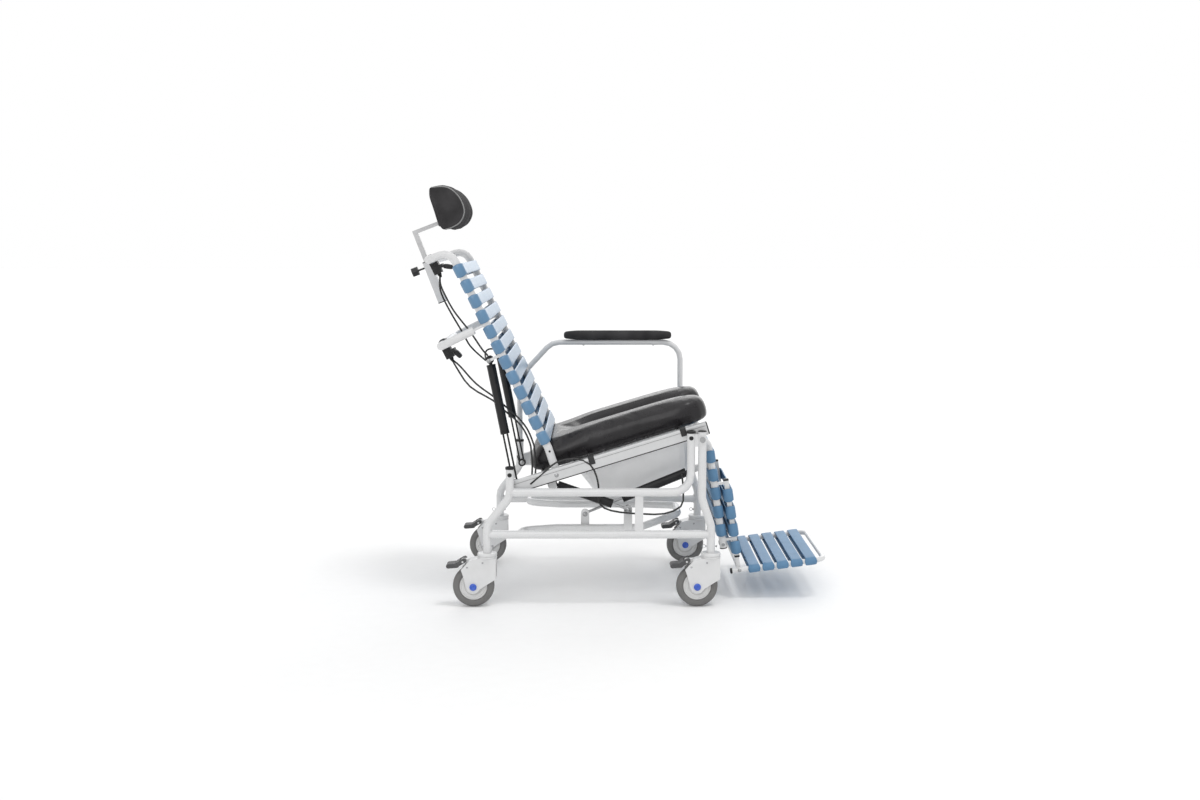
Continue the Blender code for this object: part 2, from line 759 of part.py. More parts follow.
def caster_pedal_mesh():
    """Rocker brake pedal with a raised and a low lobe, about its pin. It straddles the fork's tongue."""
    solids = []
    for (start_x, start_z), (end_x, end_z) in (PEDAL_FRONT_LOBE, PEDAL_REAR_LOBE):
        start, end = Vector((start_x, 0, start_z)), Vector((end_x, 0, end_z))
        lean = math.degrees(math.atan2(end.z - start.z, end.x - start.x))
        outline = arc((start.x, start.z), PEDAL_LOBE_R, lean + 90, lean + 270, 4)
        outline += arc((end.x, end.z), PEDAL_LOBE_R, lean - 90, lean + 90, 4)
        width = PEDAL_HALF_W - (FIT if solids else 0.0)
        solids.append(extruded(outline, -width, width))
    gap = PEDAL_TONGUE_HALF_W + RUNNING / 2
    notch_x = -PEDAL_TONGUE_R - RUNNING
    notch = box((notch_x, -gap, -PEDAL_HALF_W), (PEDAL_HALF_W, gap, PEDAL_HALF_W))
    ends = [(0, -2 * PEDAL_HALF_W, 0), (0, 2 * PEDAL_HALF_W, 0)]
    return combined(solids, [notch, cylinder(*ends, PEDAL_PIN_R + FIT)])


def casters():
    """Four casters, each turning on its stem."""
    fork, wheel, pedal = caster_fork_mesh(), caster_wheel_mesh(), caster_pedal_mesh()
    for end, x in (("front", FRONT_LEG_X), ("rear", REAR_LEG_X)):
        for hand, side in (("right", -1), ("left", 1)):
            tag = f"{end}_{hand}"
            stem = pivot(f"swivel_{tag}", (x, side * SIDE_Y, 0))
            placed(f"caster_fork_{tag}", fork, CASTER_WHITE, stem)
            placed(f"caster_wheel_{tag}", wheel, CASTER_WHITE, stem, (-TRAIL, 0, WHEEL_R))
            placed(f"caster_pedal_{tag}", pedal, DARK, stem, (PEDAL_PIVOT_X, 0, PEDAL_PIVOT_Z))


def seat_frame(seat):
    """Rails, cross tubes, pan runners, hinge pins and spring brackets of the seat."""
    half_y, half_z = RAIL_SIZE[0] / 2, RAIL_SIZE[1] / 2
    inner = RAIL_INNER_Y
    runner_top = PAN_TOP_Z - PAN_WALL - FIT
    runner_y = PAN_HALF_W + FIT * 10
    hanger_y = PAN_HALF_W + PAN_RIM + FIT * 10
    solids, cutters = [], []
    for x in SEAT_TUBE_X:
        solids.append(cylinder((x, -RAIL_Y, RAIL_Z), (x, RAIL_Y, RAIL_Z), SEAT_TUBE_R))
    for side in (-1, 1):
        y = side * RAIL_Y
        solids.append(box((RAIL_X[0], y - half_y, RAIL_Z - half_z), (RAIL_X[1], y + half_y, RAIL_Z + half_z)))
        boss = arc((0, 0), KNEE_BOSS_R, 180, 360, 10) + [(KNEE_BOSS_R, RAIL_Z), (-KNEE_BOSS_R, RAIL_Z)]
        solids.append(extruded(boss, y - half_y + FIT, y + half_y - FIT))
        cutters.append(cylinder((0, y - 2 * half_y, 0), (0, y + 2 * half_y, 0), KNEE_BOLT_R + FIT))
        hinge_end = side * (CANE_Y - TUBE_R - RUNNING)
        hinge = (BACK_HINGE_X, y, RAIL_Z)
        solids.append(cylinder(hinge, (BACK_HINGE_X, hinge_end, RAIL_Z), HINGE_PIN_R))
        spring = (RECLINE_SEAT_X, y, RAIL_Z)
        spring_end = side * (RECLINE_Y + EYE_THICK / 2 + FIT * 2)
        solids.append(cylinder(spring, (RECLINE_SEAT_X, spring_end, RAIL_Z), SPRING_PIN_R * 1.5))
        runner_out = hanger_y + HANGER_THICK
        ends = sorted((side * runner_y, side * runner_out))
        solids.append(
            box(
                (SEAT_TUBE_X[0], ends[0], runner_top - RUNNER_HEIGHT),
                (SEAT_TUBE_X[1], ends[1], runner_top),
            )
        )
        ends = sorted((side * hanger_y, side * runner_out))
        for x in SEAT_TUBE_X:
            reach = SEAT_TUBE_R if x == SEAT_TUBE_X[0] else -SEAT_TUBE_R
            span = sorted((x, x + reach))
            solids.append(box((span[0], ends[0], runner_top - RUNNER_HEIGHT), (span[1], ends[1], RAIL_Z)))
    plate_y = -(inner + LUG_THICK / 2 - 0.001)
    tilt = Vector((TILT_SEAT[0], plate_y, TILT_SEAT[1]))
    solids.append(lug_plate(Vector((tilt.x, 0, RAIL_Z)), tilt, plate_y, EYE_R))
    solids.append(cylinder(tilt, (tilt.x, TILT_Y + EYE_THICK / 2 + FIT * 2, tilt.z), SPRING_PIN_R))
    return placed("seat_frame", combined(solids, cutters), WHITE, seat)


def cushion_outline():
    """Plan of the cushion: a horseshoe that is open at the front."""
    rear, front = CUSHION_X
    half, corner, slot = CUSHION_HALF_W, CUSHION_REAR_CORNER, APERTURE_HALF_W
    lobe_y = (half + slot) / 2
    lobe_r = (half - slot) / 2
    hollow_x = APERTURE_REAR_X + slot
    right = arc((front - lobe_r, -lobe_y), lobe_r, 90, -90, 8)
    right += arc((rear + corner, -half + corner), corner, 270, 180, 4)
    hollow = arc((hollow_x, 0), slot, 90, 270, 8)
    left = [(x, -y) for x, y in reversed(right)]
    return right + left + hollow


def seat_cushion(seat):
    """Open-front cushion with drawn-in sides and a crown."""
    outline = [Vector((x, y, 0)) for x, y in cushion_outline()]
    count = len(outline)
    normals = []
    for i in range(count):
        along = (outline[(i + 1) % count] - outline[i]).normalized()
        along += (outline[i] - outline[i - 1]).normalized()
        normals.append(Vector((-along.y, along.x, 0)).normalized())
    thick = CUSHION_THICK
    rings = []
    steps = (
        (0.014, 0.0),
        (0.004, 0.10 * thick),
        (0.0, 0.32 * thick),
        (0.001, 0.58 * thick),
        (0.007, 0.78 * thick),
        (0.021, 0.92 * thick),
        (0.044, 0.985 * thick),
        (0.064, thick),
    )
    floor = RAIL_Z + SEAT_TUBE_R + FIT
    sweep = STRAP_FIRST_Z - STRAP_WIDTH / 2 - CUSHION_STRAP_GAP
    for inset, height in steps:
        ring = [p - n * inset + Vector((0, 0, floor + height)) for p, n in zip(outline, normals)]
        for point in ring:
            reach = min(point.x - BACK_HINGE_X, 0.0)
            point.z = min(point.z, RAIL_Z + math.sqrt(sweep ** 2 - reach ** 2))
        rings.append(ring)
    return placed("seat_cushion", lofted(rings), VINYL, seat)


def rounded_ring(x_span, half_w, z, corner=PAN_CORNER):
    """A rounded rectangle at one level."""
    points = []
    for cx, cy, start in (
        (x_span[1] - corner, half_w - corner, 0),
        (x_span[0] + corner, half_w - corner, 90),
        (x_span[0] + corner, corner - half_w, 180),
        (x_span[1] - corner, corner - half_w, 270),
    ):
        points += [(x, y, z) for x, y in arc((cx, cy), corner, start, start + 90, 3)]
    return points


def commode_pan(seat):
    """Pan with a rim that hangs on the runners."""
    top, wall = PAN_TOP_Z, PAN_WALL
    shrunk = (PAN_BOTTOM_X[0] + wall, PAN_BOTTOM_X[1] - wall)
    mouth = (PAN_TOP_X[0] + wall, PAN_TOP_X[1] - wall)
    rim = (PAN_TOP_X[0] - PAN_LIP, PAN_TOP_X[1] + PAN_LIP)
    rings = [
        rounded_ring(PAN_BOTTOM_X, PAN_BOTTOM_HALF_W, top - PAN_DEPTH),
        rounded_ring(PAN_TOP_X, PAN_HALF_W, top - wall),
        rounded_ring(rim, PAN_HALF_W + PAN_RIM, top - wall),
        rounded_ring(rim, PAN_HALF_W + PAN_RIM, top),
        rounded_ring(mouth, PAN_HALF_W - wall, top),
        rounded_ring(shrunk, PAN_BOTTOM_HALF_W - wall, top - PAN_DEPTH + wall),
    ]
    return placed("commode_pan", lofted(rings), PAN_PLASTIC, seat)


def lug_on_cane(side, z, reach):
    """A flat lug that leaves a cane towards the rear."""
    y = side * CANE_Y
    return box((CANE_X - reach, y - LUG_THICK, z - LUG_THICK / 2), (CANE_X, y + LUG_THICK, z + LUG_THICK / 2))


def back_frame(back):
    """Canes, push bar, lower handle, spring lugs and headrest socket as one weldment."""
    lower = Vector((CANE_X, 0, CANE_KNEE_Z)).normalized()
    half = [
        -lower * CANE_END,
        Vector((CANE_X, 0, CANE_KNEE_Z)),
        Vector((CANE_X, 0, CANE_TOP_Z)),
        Vector((PUSH_BAR_X, 0, CANE_TOP_Z + PUSH_BAR_RISE)),
    ]
    right = [p + Vector((0, -CANE_Y, 0)) for p in half]
    left = [p + Vector((0, CANE_Y, 0)) for p in reversed(half)]
    solids = [swept(bent_path(right + left, CANE_BEND), TUBE_R)]
    handle_start = CANE_X - TUBE_R - HANDLE_LUG_LENGTH
    handle = [
        (handle_start, -CANE_Y, HANDLE_LUG_Z),
        (HANDLE_X, -CANE_Y, HANDLE_LUG_Z),
        (HANDLE_X, CANE_Y, HANDLE_LUG_Z),
        (handle_start, CANE_Y, HANDLE_LUG_Z),
    ]
    solids.append(swept(bent_path(handle, HANDLE_BEND), TUBE_R))
    cutters = []
    for side in (-1, 1):
        y = side * CANE_Y
        solids.append(lug_on_cane(side, HANDLE_LUG_Z, HANDLE_LUG_LENGTH + TUBE_R + 0.006))
        solids.append(lug_on_cane(side, SPRING_LUG_Z, CANE_X - RECLINE_LUG_X + EYE_R * 0.6))
        pin_end = side * (RECLINE_Y - EYE_THICK / 2 - FIT * 2)
        lug = Vector((RECLINE_LUG_X, y, SPRING_LUG_Z))
        solids.append(cylinder(lug, (lug.x, pin_end, lug.z), SPRING_PIN_R))
        cutters.append(cylinder((0, y - 2 * TUBE_R, 0), (0, y + 2 * TUBE_R, 0), HINGE_PIN_R + FIT))
    socket, hollow = headrest_socket()
    return placed("back_frame", combined(solids + socket, cutters + hollow), WHITE, back)


def headrest_matrix():
    """From the headrest's frame, along its post, to the frame of the back."""
    place = Matrix.Translation((SOCKET_CENTRE[0], 0, SOCKET_CENTRE[1]))
    return place @ Matrix.Rotation(HEADREST_LEAN, 4, "Y")


def headrest_socket():
    """Square socket behind the push bar, its bracket, and the holes in it."""
    place = headrest_matrix()
    half, length = SOCKET_OUTER / 2, SOCKET_LENGTH / 2
    hole = POST_SIZE / 2 + FIT
    outer = moved(box((-half, -half, -length), (half, half, length)), place)
    joint = place @ Vector((0, 0, length * 0.62))
    bar_point = Vector((PUSH_BAR_X, 0, CANE_TOP_Z + PUSH_BAR_RISE))
    bracket = bar(joint, bar_point, SOCKET_OUTER * 0.8, SOCKET_BRACKET)
    bore = moved(box((-hole, -hole, -length * 1.2), (hole, hole, length * 1.2)), place)
    screw = moved(cylinder((-half * 1.5, 0, KNOB_Z), (0, 0, KNOB_Z), KNOB_SCREW_R + FIT, 10), place)
    return [outer, bracket], [bore, screw]


def strap_ring(half_span, bar_half, steps):
    """Outline pairs (outer, inner) of a strap that goes round two bars."""
    outer, inner = [], []
    inside = (bar_half + FIT) / math.cos(math.pi / steps / 2)
    for ring, reach in ((outer, inside + STRAP_THICK), (inner, inside)):
        ring += [(x, y + half_span) for x, y in arc((0, 0), reach, 0, 180, steps)]
        ring += [(x, y - half_span) for x, y in arc((0, 0), reach, 180, 360, steps)]
    return outer, inner


def strap_mesh(half_span, bar_half, width, steps=STRAP_STEPS):
    """A closed strap round two bars that run along Z: a flat loop of the given width."""
    outer, inner = strap_ring(half_span, bar_half, steps)
    bm = bmesh.new()
    loops = []
    for ring, z in ((outer, -1), (outer, 1), (inner, 1), (inner, -1)):
        loops.append([bm.verts.new((x, y, z * width / 2)) for x, y in ring])
    count = len(outer)
    for a, b in zip(loops, loops[1:] + loops[:1]):
        for i in range(count):
            j = (i + 1) % count
            bm.faces.new((a[i], a[j], b[j], b[i]))
    return finished(bm)


def back_straps(back):
    """Twelve straps, counted from the top."""
    mesh = strap_mesh(CANE_Y, TUBE_R, STRAP_WIDTH)
    for i in range(STRAP_COUNT):
        z = STRAP_FIRST_Z + (STRAP_COUNT - 1 - i) * STRAP_SPACING
        placed(f"back_strap_{i + 1:02d}", mesh, BLUE, back, (CANE_X, 0, z))


def gas_spring(start, end, cylinder_r, cylinder_length, engaged, pinned="cylinder", rod_r=ROD_R, spread=0.0):
    """Cylinder and rod along +Z, and their turn: the cylinder's eye is at start, the rod's at end.

    With a spread there are two rods, that far to each side of the middle.
    """
    run = end - start
    eye_half = EYE_THICK / 2
    body_end = SPRING_NECK + cylinder_length
    bore_start = SPRING_NECK + SPRING_END_WALL
    hole = cylinder((0, -EYE_R, 0), (0, EYE_R, 0), SPRING_PIN_R + FIT)
    tube = [
        cylinder((0, -eye_half, 0), (0, eye_half, 0), EYE_R),
        cylinder((0, 0, EYE_R / 2), (0, 0, SPRING_NECK + SPRING_END_WALL / 2), SPRING_NECK_R),
        cylinder((0, 0, SPRING_NECK), (0, 0, body_end), cylinder_r),
    ]
    shaft = [cylinder((0, -eye_half, 0), (0, eye_half, 0), EYE_R)]
    bores = []
    for x in ((-spread, spread) if spread else (0.0,)):
        bores.append(cylinder((x, 0, bore_start), (x, 0, body_end + EYE_R), rod_r + FIT))
        shaft.append(cylinder((x, 0, body_end - engaged - run.length), (x, 0, -EYE_R / 2), rod_r))
    turn = math.atan2(run.x, run.z)
    if pinned == "cylinder":
        return combined(tube, [*bores, hole]), combined(shaft), turn
    return combined(tube, bores), combined(shaft, [hole]), turn


def spring_pair(name, start, end, y, parts):
    """The two named objects of a gas spring in the plane at y."""
    tube, shaft, turn = parts
    offset = Vector((0, y, 0))
    placed(name.format("cylinder"), tube, BLACK, None, start + offset, turn)
    placed(name.format("rod"), shaft, STEEL, None, end + offset, turn)


def springs():
    """Recline, tilt and legrest gas springs, at rest."""
    lug = in_frame((RECLINE_LUG_X, SPRING_LUG_Z), BACK_HINGE, BACK_ANGLE)
    seat_end = in_frame((RECLINE_SEAT_X, RAIL_Z), KNEE, SEAT_ANGLE)
    twin = {"rod_r": TWIN_ROD_R, "spread": TWIN_ROD_SPREAD}
    for hand, side in (("right", -1), ("left", 1)):
        size = (RECLINE_CYLINDER_R, RECLINE_CYLINDER_LENGTH, RECLINE_ENGAGED)
        parts = gas_spring(lug, seat_end, *size, **twin)
        spring_pair("recline_{}_" + hand, lug, seat_end, side * RECLINE_Y, parts)
    tilt_end = in_frame(TILT_SEAT, KNEE, SEAT_ANGLE)
    parts = gas_spring(tilt_end, TILT_BASE, TILT_CYLINDER_R, TILT_CYLINDER_LENGTH, TILT_ENGAGED)
    spring_pair("tilt_{}", tilt_end, TILT_BASE, TILT_Y, parts)
    top, base = LEGREST_SPRING_TOP, LEGREST_SPRING_BASE
    parts = gas_spring(top, base, LEGREST_CYLINDER_R, LEGREST_CYLINDER_LENGTH, LEGREST_ENGAGED, "rod")
    spring_pair("legrest_{}", top, base, LEGREST_SPRING_Y, parts)


def headrest_pad_mesh():
    """D-shaped pad with rounded ends, and a groove in its back for the nose of the post's arm."""
    profile = [(PAD_BACK_X + PAD_DEPTH * x, PAD_HEIGHT * z - PAD_DROP) for x, z in PAD_PROFILE]
    middle_x, middle_z = PAD_BACK_X + PAD_DEPTH / 2, PAD_HEIGHT / 2 - PAD_DROP
    rings = []
    for turn in (90, 60, 30, 0):
        bulge = 1 - math.sin(math.radians(turn))
        y = PAD_HALF_W - PAD_END_ROUND * bulge
        inset = PAD_END_ROUND * (1 - math.cos(math.radians(turn)))
        ring = []
        for x, z in profile:
            out = Vector((x - middle_x, z - middle_z))
            out *= 1 - inset / out.length
            ring.append((middle_x + out.x, y, middle_z + out.y))
        rings.append(ring)
    right = [[(x, -y, z) for x, y, z in ring] for ring in rings]
    groove_y = POST_SIZE / 2 + FIT
    groove = cylinder((0, -groove_y, 0), (0, groove_y, 0), HEAD_ARM_THICK / 2 + FIT)
    return combined([lofted(right + rings[::-1])], [groove])


def knob_outline():
    """Lobed outline of the clamp knob."""
    points = []
    for i in range(KNOB_LOBES * 4):
        angle = math.tau * i / (KNOB_LOBES * 4)
        reach = KNOB_R * (0.94 + 0.06 * math.cos(KNOB_LOBES * angle))
        points.append((reach * math.cos(angle), reach * math.sin(angle)))
    return points


def headrest(socket):
    """Post with its arm, pad and clamp knob, about the middle of the socket."""
    half = POST_SIZE / 2
    nose_r = HEAD_ARM_THICK / 2
    nose = (HEAD_ARM_END_X, POST_TOP - nose_r)
    outline = [(-half, POST_TOP), (-half, -POST_DROP), (half, -POST_DROP), (half, POST_TOP - HEAD_ARM_THICK)]
    outline += arc(nose, nose_r, -90, 90, 6)
    placed("headrest_post", extruded(outline, -half, half), ALUMINIUM, socket)
    placed("headrest_pad", headrest_pad_mesh(), VINYL, socket, (nose[0], 0, nose[1]), PAD_LEAN)
    near, far = SOCKET_OUTER / 2 + KNOB_STAND, SOCKET_OUTER / 2 + KNOB_STAND + KNOB_LENGTH
    grip = lofted([[(-x, u, v) for u, v in knob_outline()] for x in (near, far)])
    screw = cylinder((-half - 2 * FIT, 0, 0), (-near - KNOB_LENGTH / 2, 0, 0), KNOB_SCREW_R, 10)
    placed("headrest_knob", combined([grip, screw]), DARK, socket, (0, 0, KNOB_Z))


def lever(back, name, bar_x, bar_z, tip):
    """Clamped housing and trigger of a release lever under a bar along Y."""
    half, ear = LEVER_DEPTH / 2, LEVER_EAR
    top = bar_z - TUBE_R
    pin = Vector((bar_x + half + ear, LEVER_Y, top - LEVER_PIN_DROP))
    low_y, high_y = LEVER_Y - LEVER_HALF_W, LEVER_Y + LEVER_HALF_W
    solids = [
        box((bar_x - half, low_y, top - LEVER_HEIGHT), (bar_x + half, high_y, top + LEVER_CLAMP_WALL)),
        cylinder((bar_x, low_y, bar_z), (bar_x, high_y, bar_z), TUBE_R + LEVER_CLAMP_WALL),
        cylinder((pin.x, low_y + ear / 2, pin.z), (pin.x, high_y - ear / 2, pin.z), LEVER_PIN_R, 8),
    ]
    for start in (low_y, high_y - ear):
        solids.append(box((bar_x, start, pin.z - ear), (pin.x + ear, start + ear, pin.z + ear)))
    clamp = cylinder((bar_x, low_y - TUBE_R, bar_z), (bar_x, high_y + TUBE_R, bar_z), TUBE_R + FIT * 2)
    placed(f"{name}_lever_housing", combined(solids, [clamp]), DARK, back)
    width = LEVER_HALF_W - ear - FIT
    knuckle = cylinder((0, -width, 0), (0, width, 0), TRIGGER_KNUCKLE_R)
    plate = bar((0, 0, 0), (tip[0], 0, tip[1]), 2 * width - FIT, TRIGGER_THICK)
    hole = cylinder((0, -2 * width, 0), (0, 2 * width, 0), LEVER_PIN_R + FIT, 8)
    placed(f"{name}_lever", combined([knuckle, plate], [hole]), DARK, back, pin)


def armrest():
    """Bent tube with two plugs, and its pad."""
    y = SIDE_Y
    path = [
        (REAR_POST_X, y, REAR_POST_TOP - ARM_PLUG),
        (REAR_POST_X, y, ARM_SLOPE_Z),
        (ARM_SLOPE_X, y, ARM_TOP_Z),
        (FRONT_POST_X, y, ARM_TOP_Z),
        (FRONT_POST_X, y, FRONT_TOP - ARM_PLUG),
    ]
    placed("armrest_frame", swept(bent_path(path, ARM_BEND), ARM_R), WHITE)
    floor = ARM_TOP_Z + ARM_R + FIT
    rings = []
    for share, height in ((1.0, 0.0), (0.3, 0.12), (0.0, 0.4), (0.05, 0.7), (0.5, 0.92), (1.3, 1.0)):
        inset = ARM_PAD_ROUND * share
        half_w = ARM_PAD_HALF_W - inset
        corner = min(ARM_PAD_HALF_W * 0.6, half_w * 0.9)
        ring = rounded_ring((ARM_PAD_X[0] + inset, ARM_PAD_X[1] - inset), half_w, 0.0, corner)
        rings.append([(px, y + py, floor + height * ARM_PAD_THICK) for px, py, pz in ring])
    placed("armrest_pad", lofted(rings), VINYL)


def legrest_frame(leg):
    """Calf bars, cross tubes, hollow shin posts and the spring's lever as one weldment."""
    solids, cutters = [], []
    for z in CALF_TUBE_Z:
        solids.append(cylinder((CALF_X, -CALF_Y, z), (CALF_X, CALF_Y, z), CALF_TUBE_R))
    half, hollow = SHIN_SIZE / 2, SHIN_SIZE / 2 - SHIN_WALL
    for side in (-1, 1):
        y, arm_y = side * CALF_Y, side * LEG_ARM_Y
        path = [(CALF_X, y, CALF_Z[1]), (CALF_X, y, CALF_Z[0]), (0, arm_y, 0)]
        solids.append(swept(bent_path(path, CALF_BEND), CALF_R))
        solids.append(cylinder((0, arm_y - CALF_R, 0), (0, arm_y + CALF_R, 0), KNEE_BOSS_R))
        hole = [(0, arm_y - 2 * CALF_R, 0), (0, arm_y + 2 * CALF_R, 0)]
        cutters.append(cylinder(*hole, KNEE_BOLT_R + FIT))
        solids.append(box((SHIN_X - half, y - half, SHIN_Z[1]), (SHIN_X + half, y + half, SHIN_Z[0])))
        for z in SHIN_BRACKET_Z:
            width, height = SHIN_BRACKET[0] / 2, SHIN_BRACKET[1] / 2
            solids.append(box((CALF_X, y - width, z - height), (SHIN_X - half / 2, y + width, z + height)))
        bore_low = (SHIN_X - hollow, y - hollow, SHIN_Z[1] - half)
        cutters.append(box(bore_low, (SHIN_X + hollow, y + hollow, SHIN_Z[0] - half)))
    plate_y = LEGREST_SPRING_Y + EYE_THICK / 2 + FIT * 2 + LUG_THICK / 2
    tip = Matrix.Rotation(LEG_ANGLE, 3, "Y") @ (LEGREST_SPRING_TOP - KNEE)
    solids.append(lug_plate(Vector((CALF_X, 0, CALF_TUBE_Z[0])), tip, plate_y, LEVER_PLATE / 2, 120))
    placed("legrest_frame", combined(solids, cutters), WHITE, leg)


def strap_set(name, parent, half_span, bar_half, width, places, x, steps=STRAP_STEPS):
    """Straps round two bars, held in one body by a slim strip on their far side."""
    strip_x = x + (bar_half + FIT + STRAP_THICK / 2) * (-1 if x > 0 else 1)
    half_w, half_t = STRAP_LINK[0] / 2, STRAP_LINK[1] / 2
    low, high = min(places), max(places)
    solids = [box((strip_x - half_t, -half_w, low), (strip_x + half_t, half_w, high))]
    for z in places:
        strap = strap_mesh(half_span, bar_half, width, steps)
        solids.append(moved(strap, Matrix.Translation((x, 0, z))))
    placed(name, combined(solids), BLUE, parent)


def footrest_hanger(leg):
    """Two square bars that slide in the shin posts, with the footrest's hinge rod."""
    half = SHIN_SIZE / 2 - SHIN_WALL - FIT
    rod_y, pin_y = CALF_Y, FOOT_Y + FOOT_TUBE_R + FIT
    z = FOOT_HINGE_Z
    solids = [
        cylinder((SHIN_X, -rod_y, z), (SHIN_X, rod_y, z), HANGER_TUBE_R),
        cylinder((SHIN_X, -pin_y, z), (SHIN_X, pin_y, z), FOOT_PIN_R),
    ]
    for side in (-1, 1):
        y = side * CALF_Y
        low = (SHIN_X - half, y - half, z - HANGER_TUBE_R - half / 4)
        solids.append(box(low, (SHIN_X + half, y + half, HANGER_TOP)))
    placed("footrest_hanger", combined(solids), WHITE, leg)


def footrest(foot):
    """Bent tube that turns on the hanger's pins, and its straps. Its frame has +Z to the toe."""
    path = [
        (0, -FOOT_Y, -FOOT_TAIL),
        (0, -FOOT_Y, FOOT_LENGTH),
        (0, FOOT_Y, FOOT_LENGTH),
        (0, FOOT_Y, -FOOT_TAIL),
    ]
    tube = swept(bent_path(path, FOOT_BEND), FOOT_TUBE_R)
    holes = []
    for side in (-1, 1):
        ends = [(0, side * FOOT_Y - 2 * FOOT_TUBE_R, 0), (0, side * FOOT_Y + 2 * FOOT_TUBE_R, 0)]
        holes.append(cylinder(*ends, FOOT_PIN_R + FIT))
    placed("footrest_frame", combined([tube], holes), WHITE, foot)
    places = [FOOT_STRAP_START + FOOT_STRAP_SPACING * i for i in range(FOOT_STRAPS)]
    strap_set("foot_straps", foot, FOOT_Y, FOOT_TUBE_R, FOOT_STRAP_WIDTH, places, 0.0)


def legrest():
    """Legrest with its straps, footrest hanger and footrest."""
    leg = pivot("legrest_pivot", KNEE, -LEG_ANGLE)
    legrest_frame(leg)
    calf = [CALF_STRAP_Z - CALF_STRAP_SPACING * i for i in range(CALF_STRAPS)]
    strap_set("calf_straps", leg, CALF_Y, CALF_R, CALF_STRAP_WIDTH, calf, CALF_X)
    shin = [SHIN_STRAP_Z - SHIN_STRAP_SPACING * i for i in range(SHIN_STRAPS)]
    corner = SHIN_SIZE / math.sqrt(2)
    strap_set("shin_straps", leg, CALF_Y, corner, STRAP_WIDTH, shin, SHIN_X, POST_STRAP_STEPS)
    hinge = in_frame((SHIN_X, FOOT_HINGE_Z), KNEE, LEG_ANGLE)
    footrest_hanger(leg)
    footrest(pivot("footrest_pivot", hinge, math.pi / 2 - FOOT_ANGLE))


def smooth_route(points, per_span=3):
    """Points of a smooth curve through a route's own points."""
    points = [Vector(p) for p in points]
    ends = [2 * points[0] - points[1], *points, 2 * points[-1] - points[-2]]
    route = []
    for before, start, end, after in zip(ends, ends[1:], ends[2:], ends[3:]):
        for step in range(per_span):
            t = step / per_span
            linear = (end - before) * t
            square = (2 * before - 5 * start + 4 * end - after) * t ** 2
            cube = (3 * start - before - 3 * end + after) * t ** 3
            route.append(start + (linear + square + cube) / 2)
    return route + [points[-1]]


def cable(points):
    """A round cable through a route."""
    return swept(smooth_route(points), CABLE_R, CABLE_SIDES)


def lever_exit(bar_x, bar_z, drop):
    """A point below a lever's housing, along the back."""
    point = in_frame((bar_x, bar_z - TUBE_R - LEVER_HEIGHT - drop), BACK_HINGE, BACK_ANGLE)
    return point + Vector((0, LEVER_Y, 0))


def cables():
    """Release cables, each from a ferrule under its lever or on the seat's rail."""
    lug = in_frame((RECLINE_LUG_X, SPRING_LUG_Z), BACK_HINGE, BACK_ANGLE)
    up = Vector((-math.sin(BACK_ANGLE), 0, math.cos(BACK_ANGLE)))
    near_end = lug + Vector((0, -RECLINE_Y, 0)) + up * (EYE_R + FIT)
    far_end = lug + Vector((-EYE_R - FIT, RECLINE_Y, 0))
    push_bar = (PUSH_BAR_X, CANE_TOP_Z + PUSH_BAR_RISE)
    top, low = lever_exit(*push_bar, FIT), lever_exit(*push_bar, FERRULE_LENGTH)
    strands = [
        cylinder(top, low, FERRULE_R, 10),
        cable([(top + low) / 2, *RECLINE_ROUTE_NEAR, near_end]),
        cable([(top + low) / 2, *RECLINE_ROUTE_FAR, far_end]),
    ]
    placed("recline_cables", combined(strands), BLACK)
    handle = (HANDLE_X, HANDLE_LUG_Z)
    top, low = lever_exit(*handle, FIT), lever_exit(*handle, FERRULE_LENGTH)
    tilt = [cylinder(top, low, FERRULE_R, 10)]
    for route in (TILT_ROUTE_FIRST, TILT_ROUTE_SECOND):
        rail_end = (route[-1][0], -RAIL_INNER_Y + FIT, route[-1][2])
        tilt.append(cable([(top + low) / 2, *route, rail_end]))
    placed("tilt_cable", combined(tilt), BLACK)
    run = (LEGREST_SPRING_BASE - LEGREST_SPRING_TOP).normalized()
    head = LEGREST_SPRING_TOP + run * LEGREST_CABLE_END
    side_y = LEGREST_SPRING_Y - LEGREST_CYLINDER_R - FIT * 2
    start = Vector(LEGREST_ROUTE[0])
    along = (Vector(LEGREST_ROUTE[1]) - start).normalized() * FERRULE_LENGTH
    sleeve = cylinder(start - along, start + along, CABLE_R * 1.1, CABLE_SIDES)
    strand = cable([*LEGREST_ROUTE, (head.x, side_y, head.z)])
    placed("legrest_cable", combined([sleeve, strand]), BLACK)


def build():
    """Builds the chair at rest."""
    for hand, side in (("right", -1), ("left", 1)):
        base_frame(f"base_frame_{hand}", side)
        knee_bolt(f"knee_bolt_{hand}", side)
    base_brace()
    casters()
    seat = pivot("seat_pivot", KNEE, -SEAT_ANGLE)
    seat_frame(seat)
    seat_cushion(seat)
    commode_pan(seat)
    back = pivot("back_hinge", BACK_HINGE, -BACK_ANGLE)
    back_frame(back)
    back_straps(back)
    lever(back, "recline", PUSH_BAR_X, CANE_TOP_Z + PUSH_BAR_RISE, RECLINE_TRIGGER_TIP)
    lever(back, "tilt", HANDLE_X, HANDLE_LUG_Z, TILT_TRIGGER_TIP)
    socket = in_frame(SOCKET_CENTRE, BACK_HINGE, BACK_ANGLE)
    headrest(pivot("headrest_socket", socket, HEADREST_LEAN - BACK_ANGLE))
    armrest()
    springs()
    legrest()
    cables()


build()
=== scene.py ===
"""Tilting shower commode chair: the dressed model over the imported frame, in metres."""

import json
import math

import bmesh
import bpy
from mathutils import Matrix, Vector
from mathutils.bvhtree import BVHTree

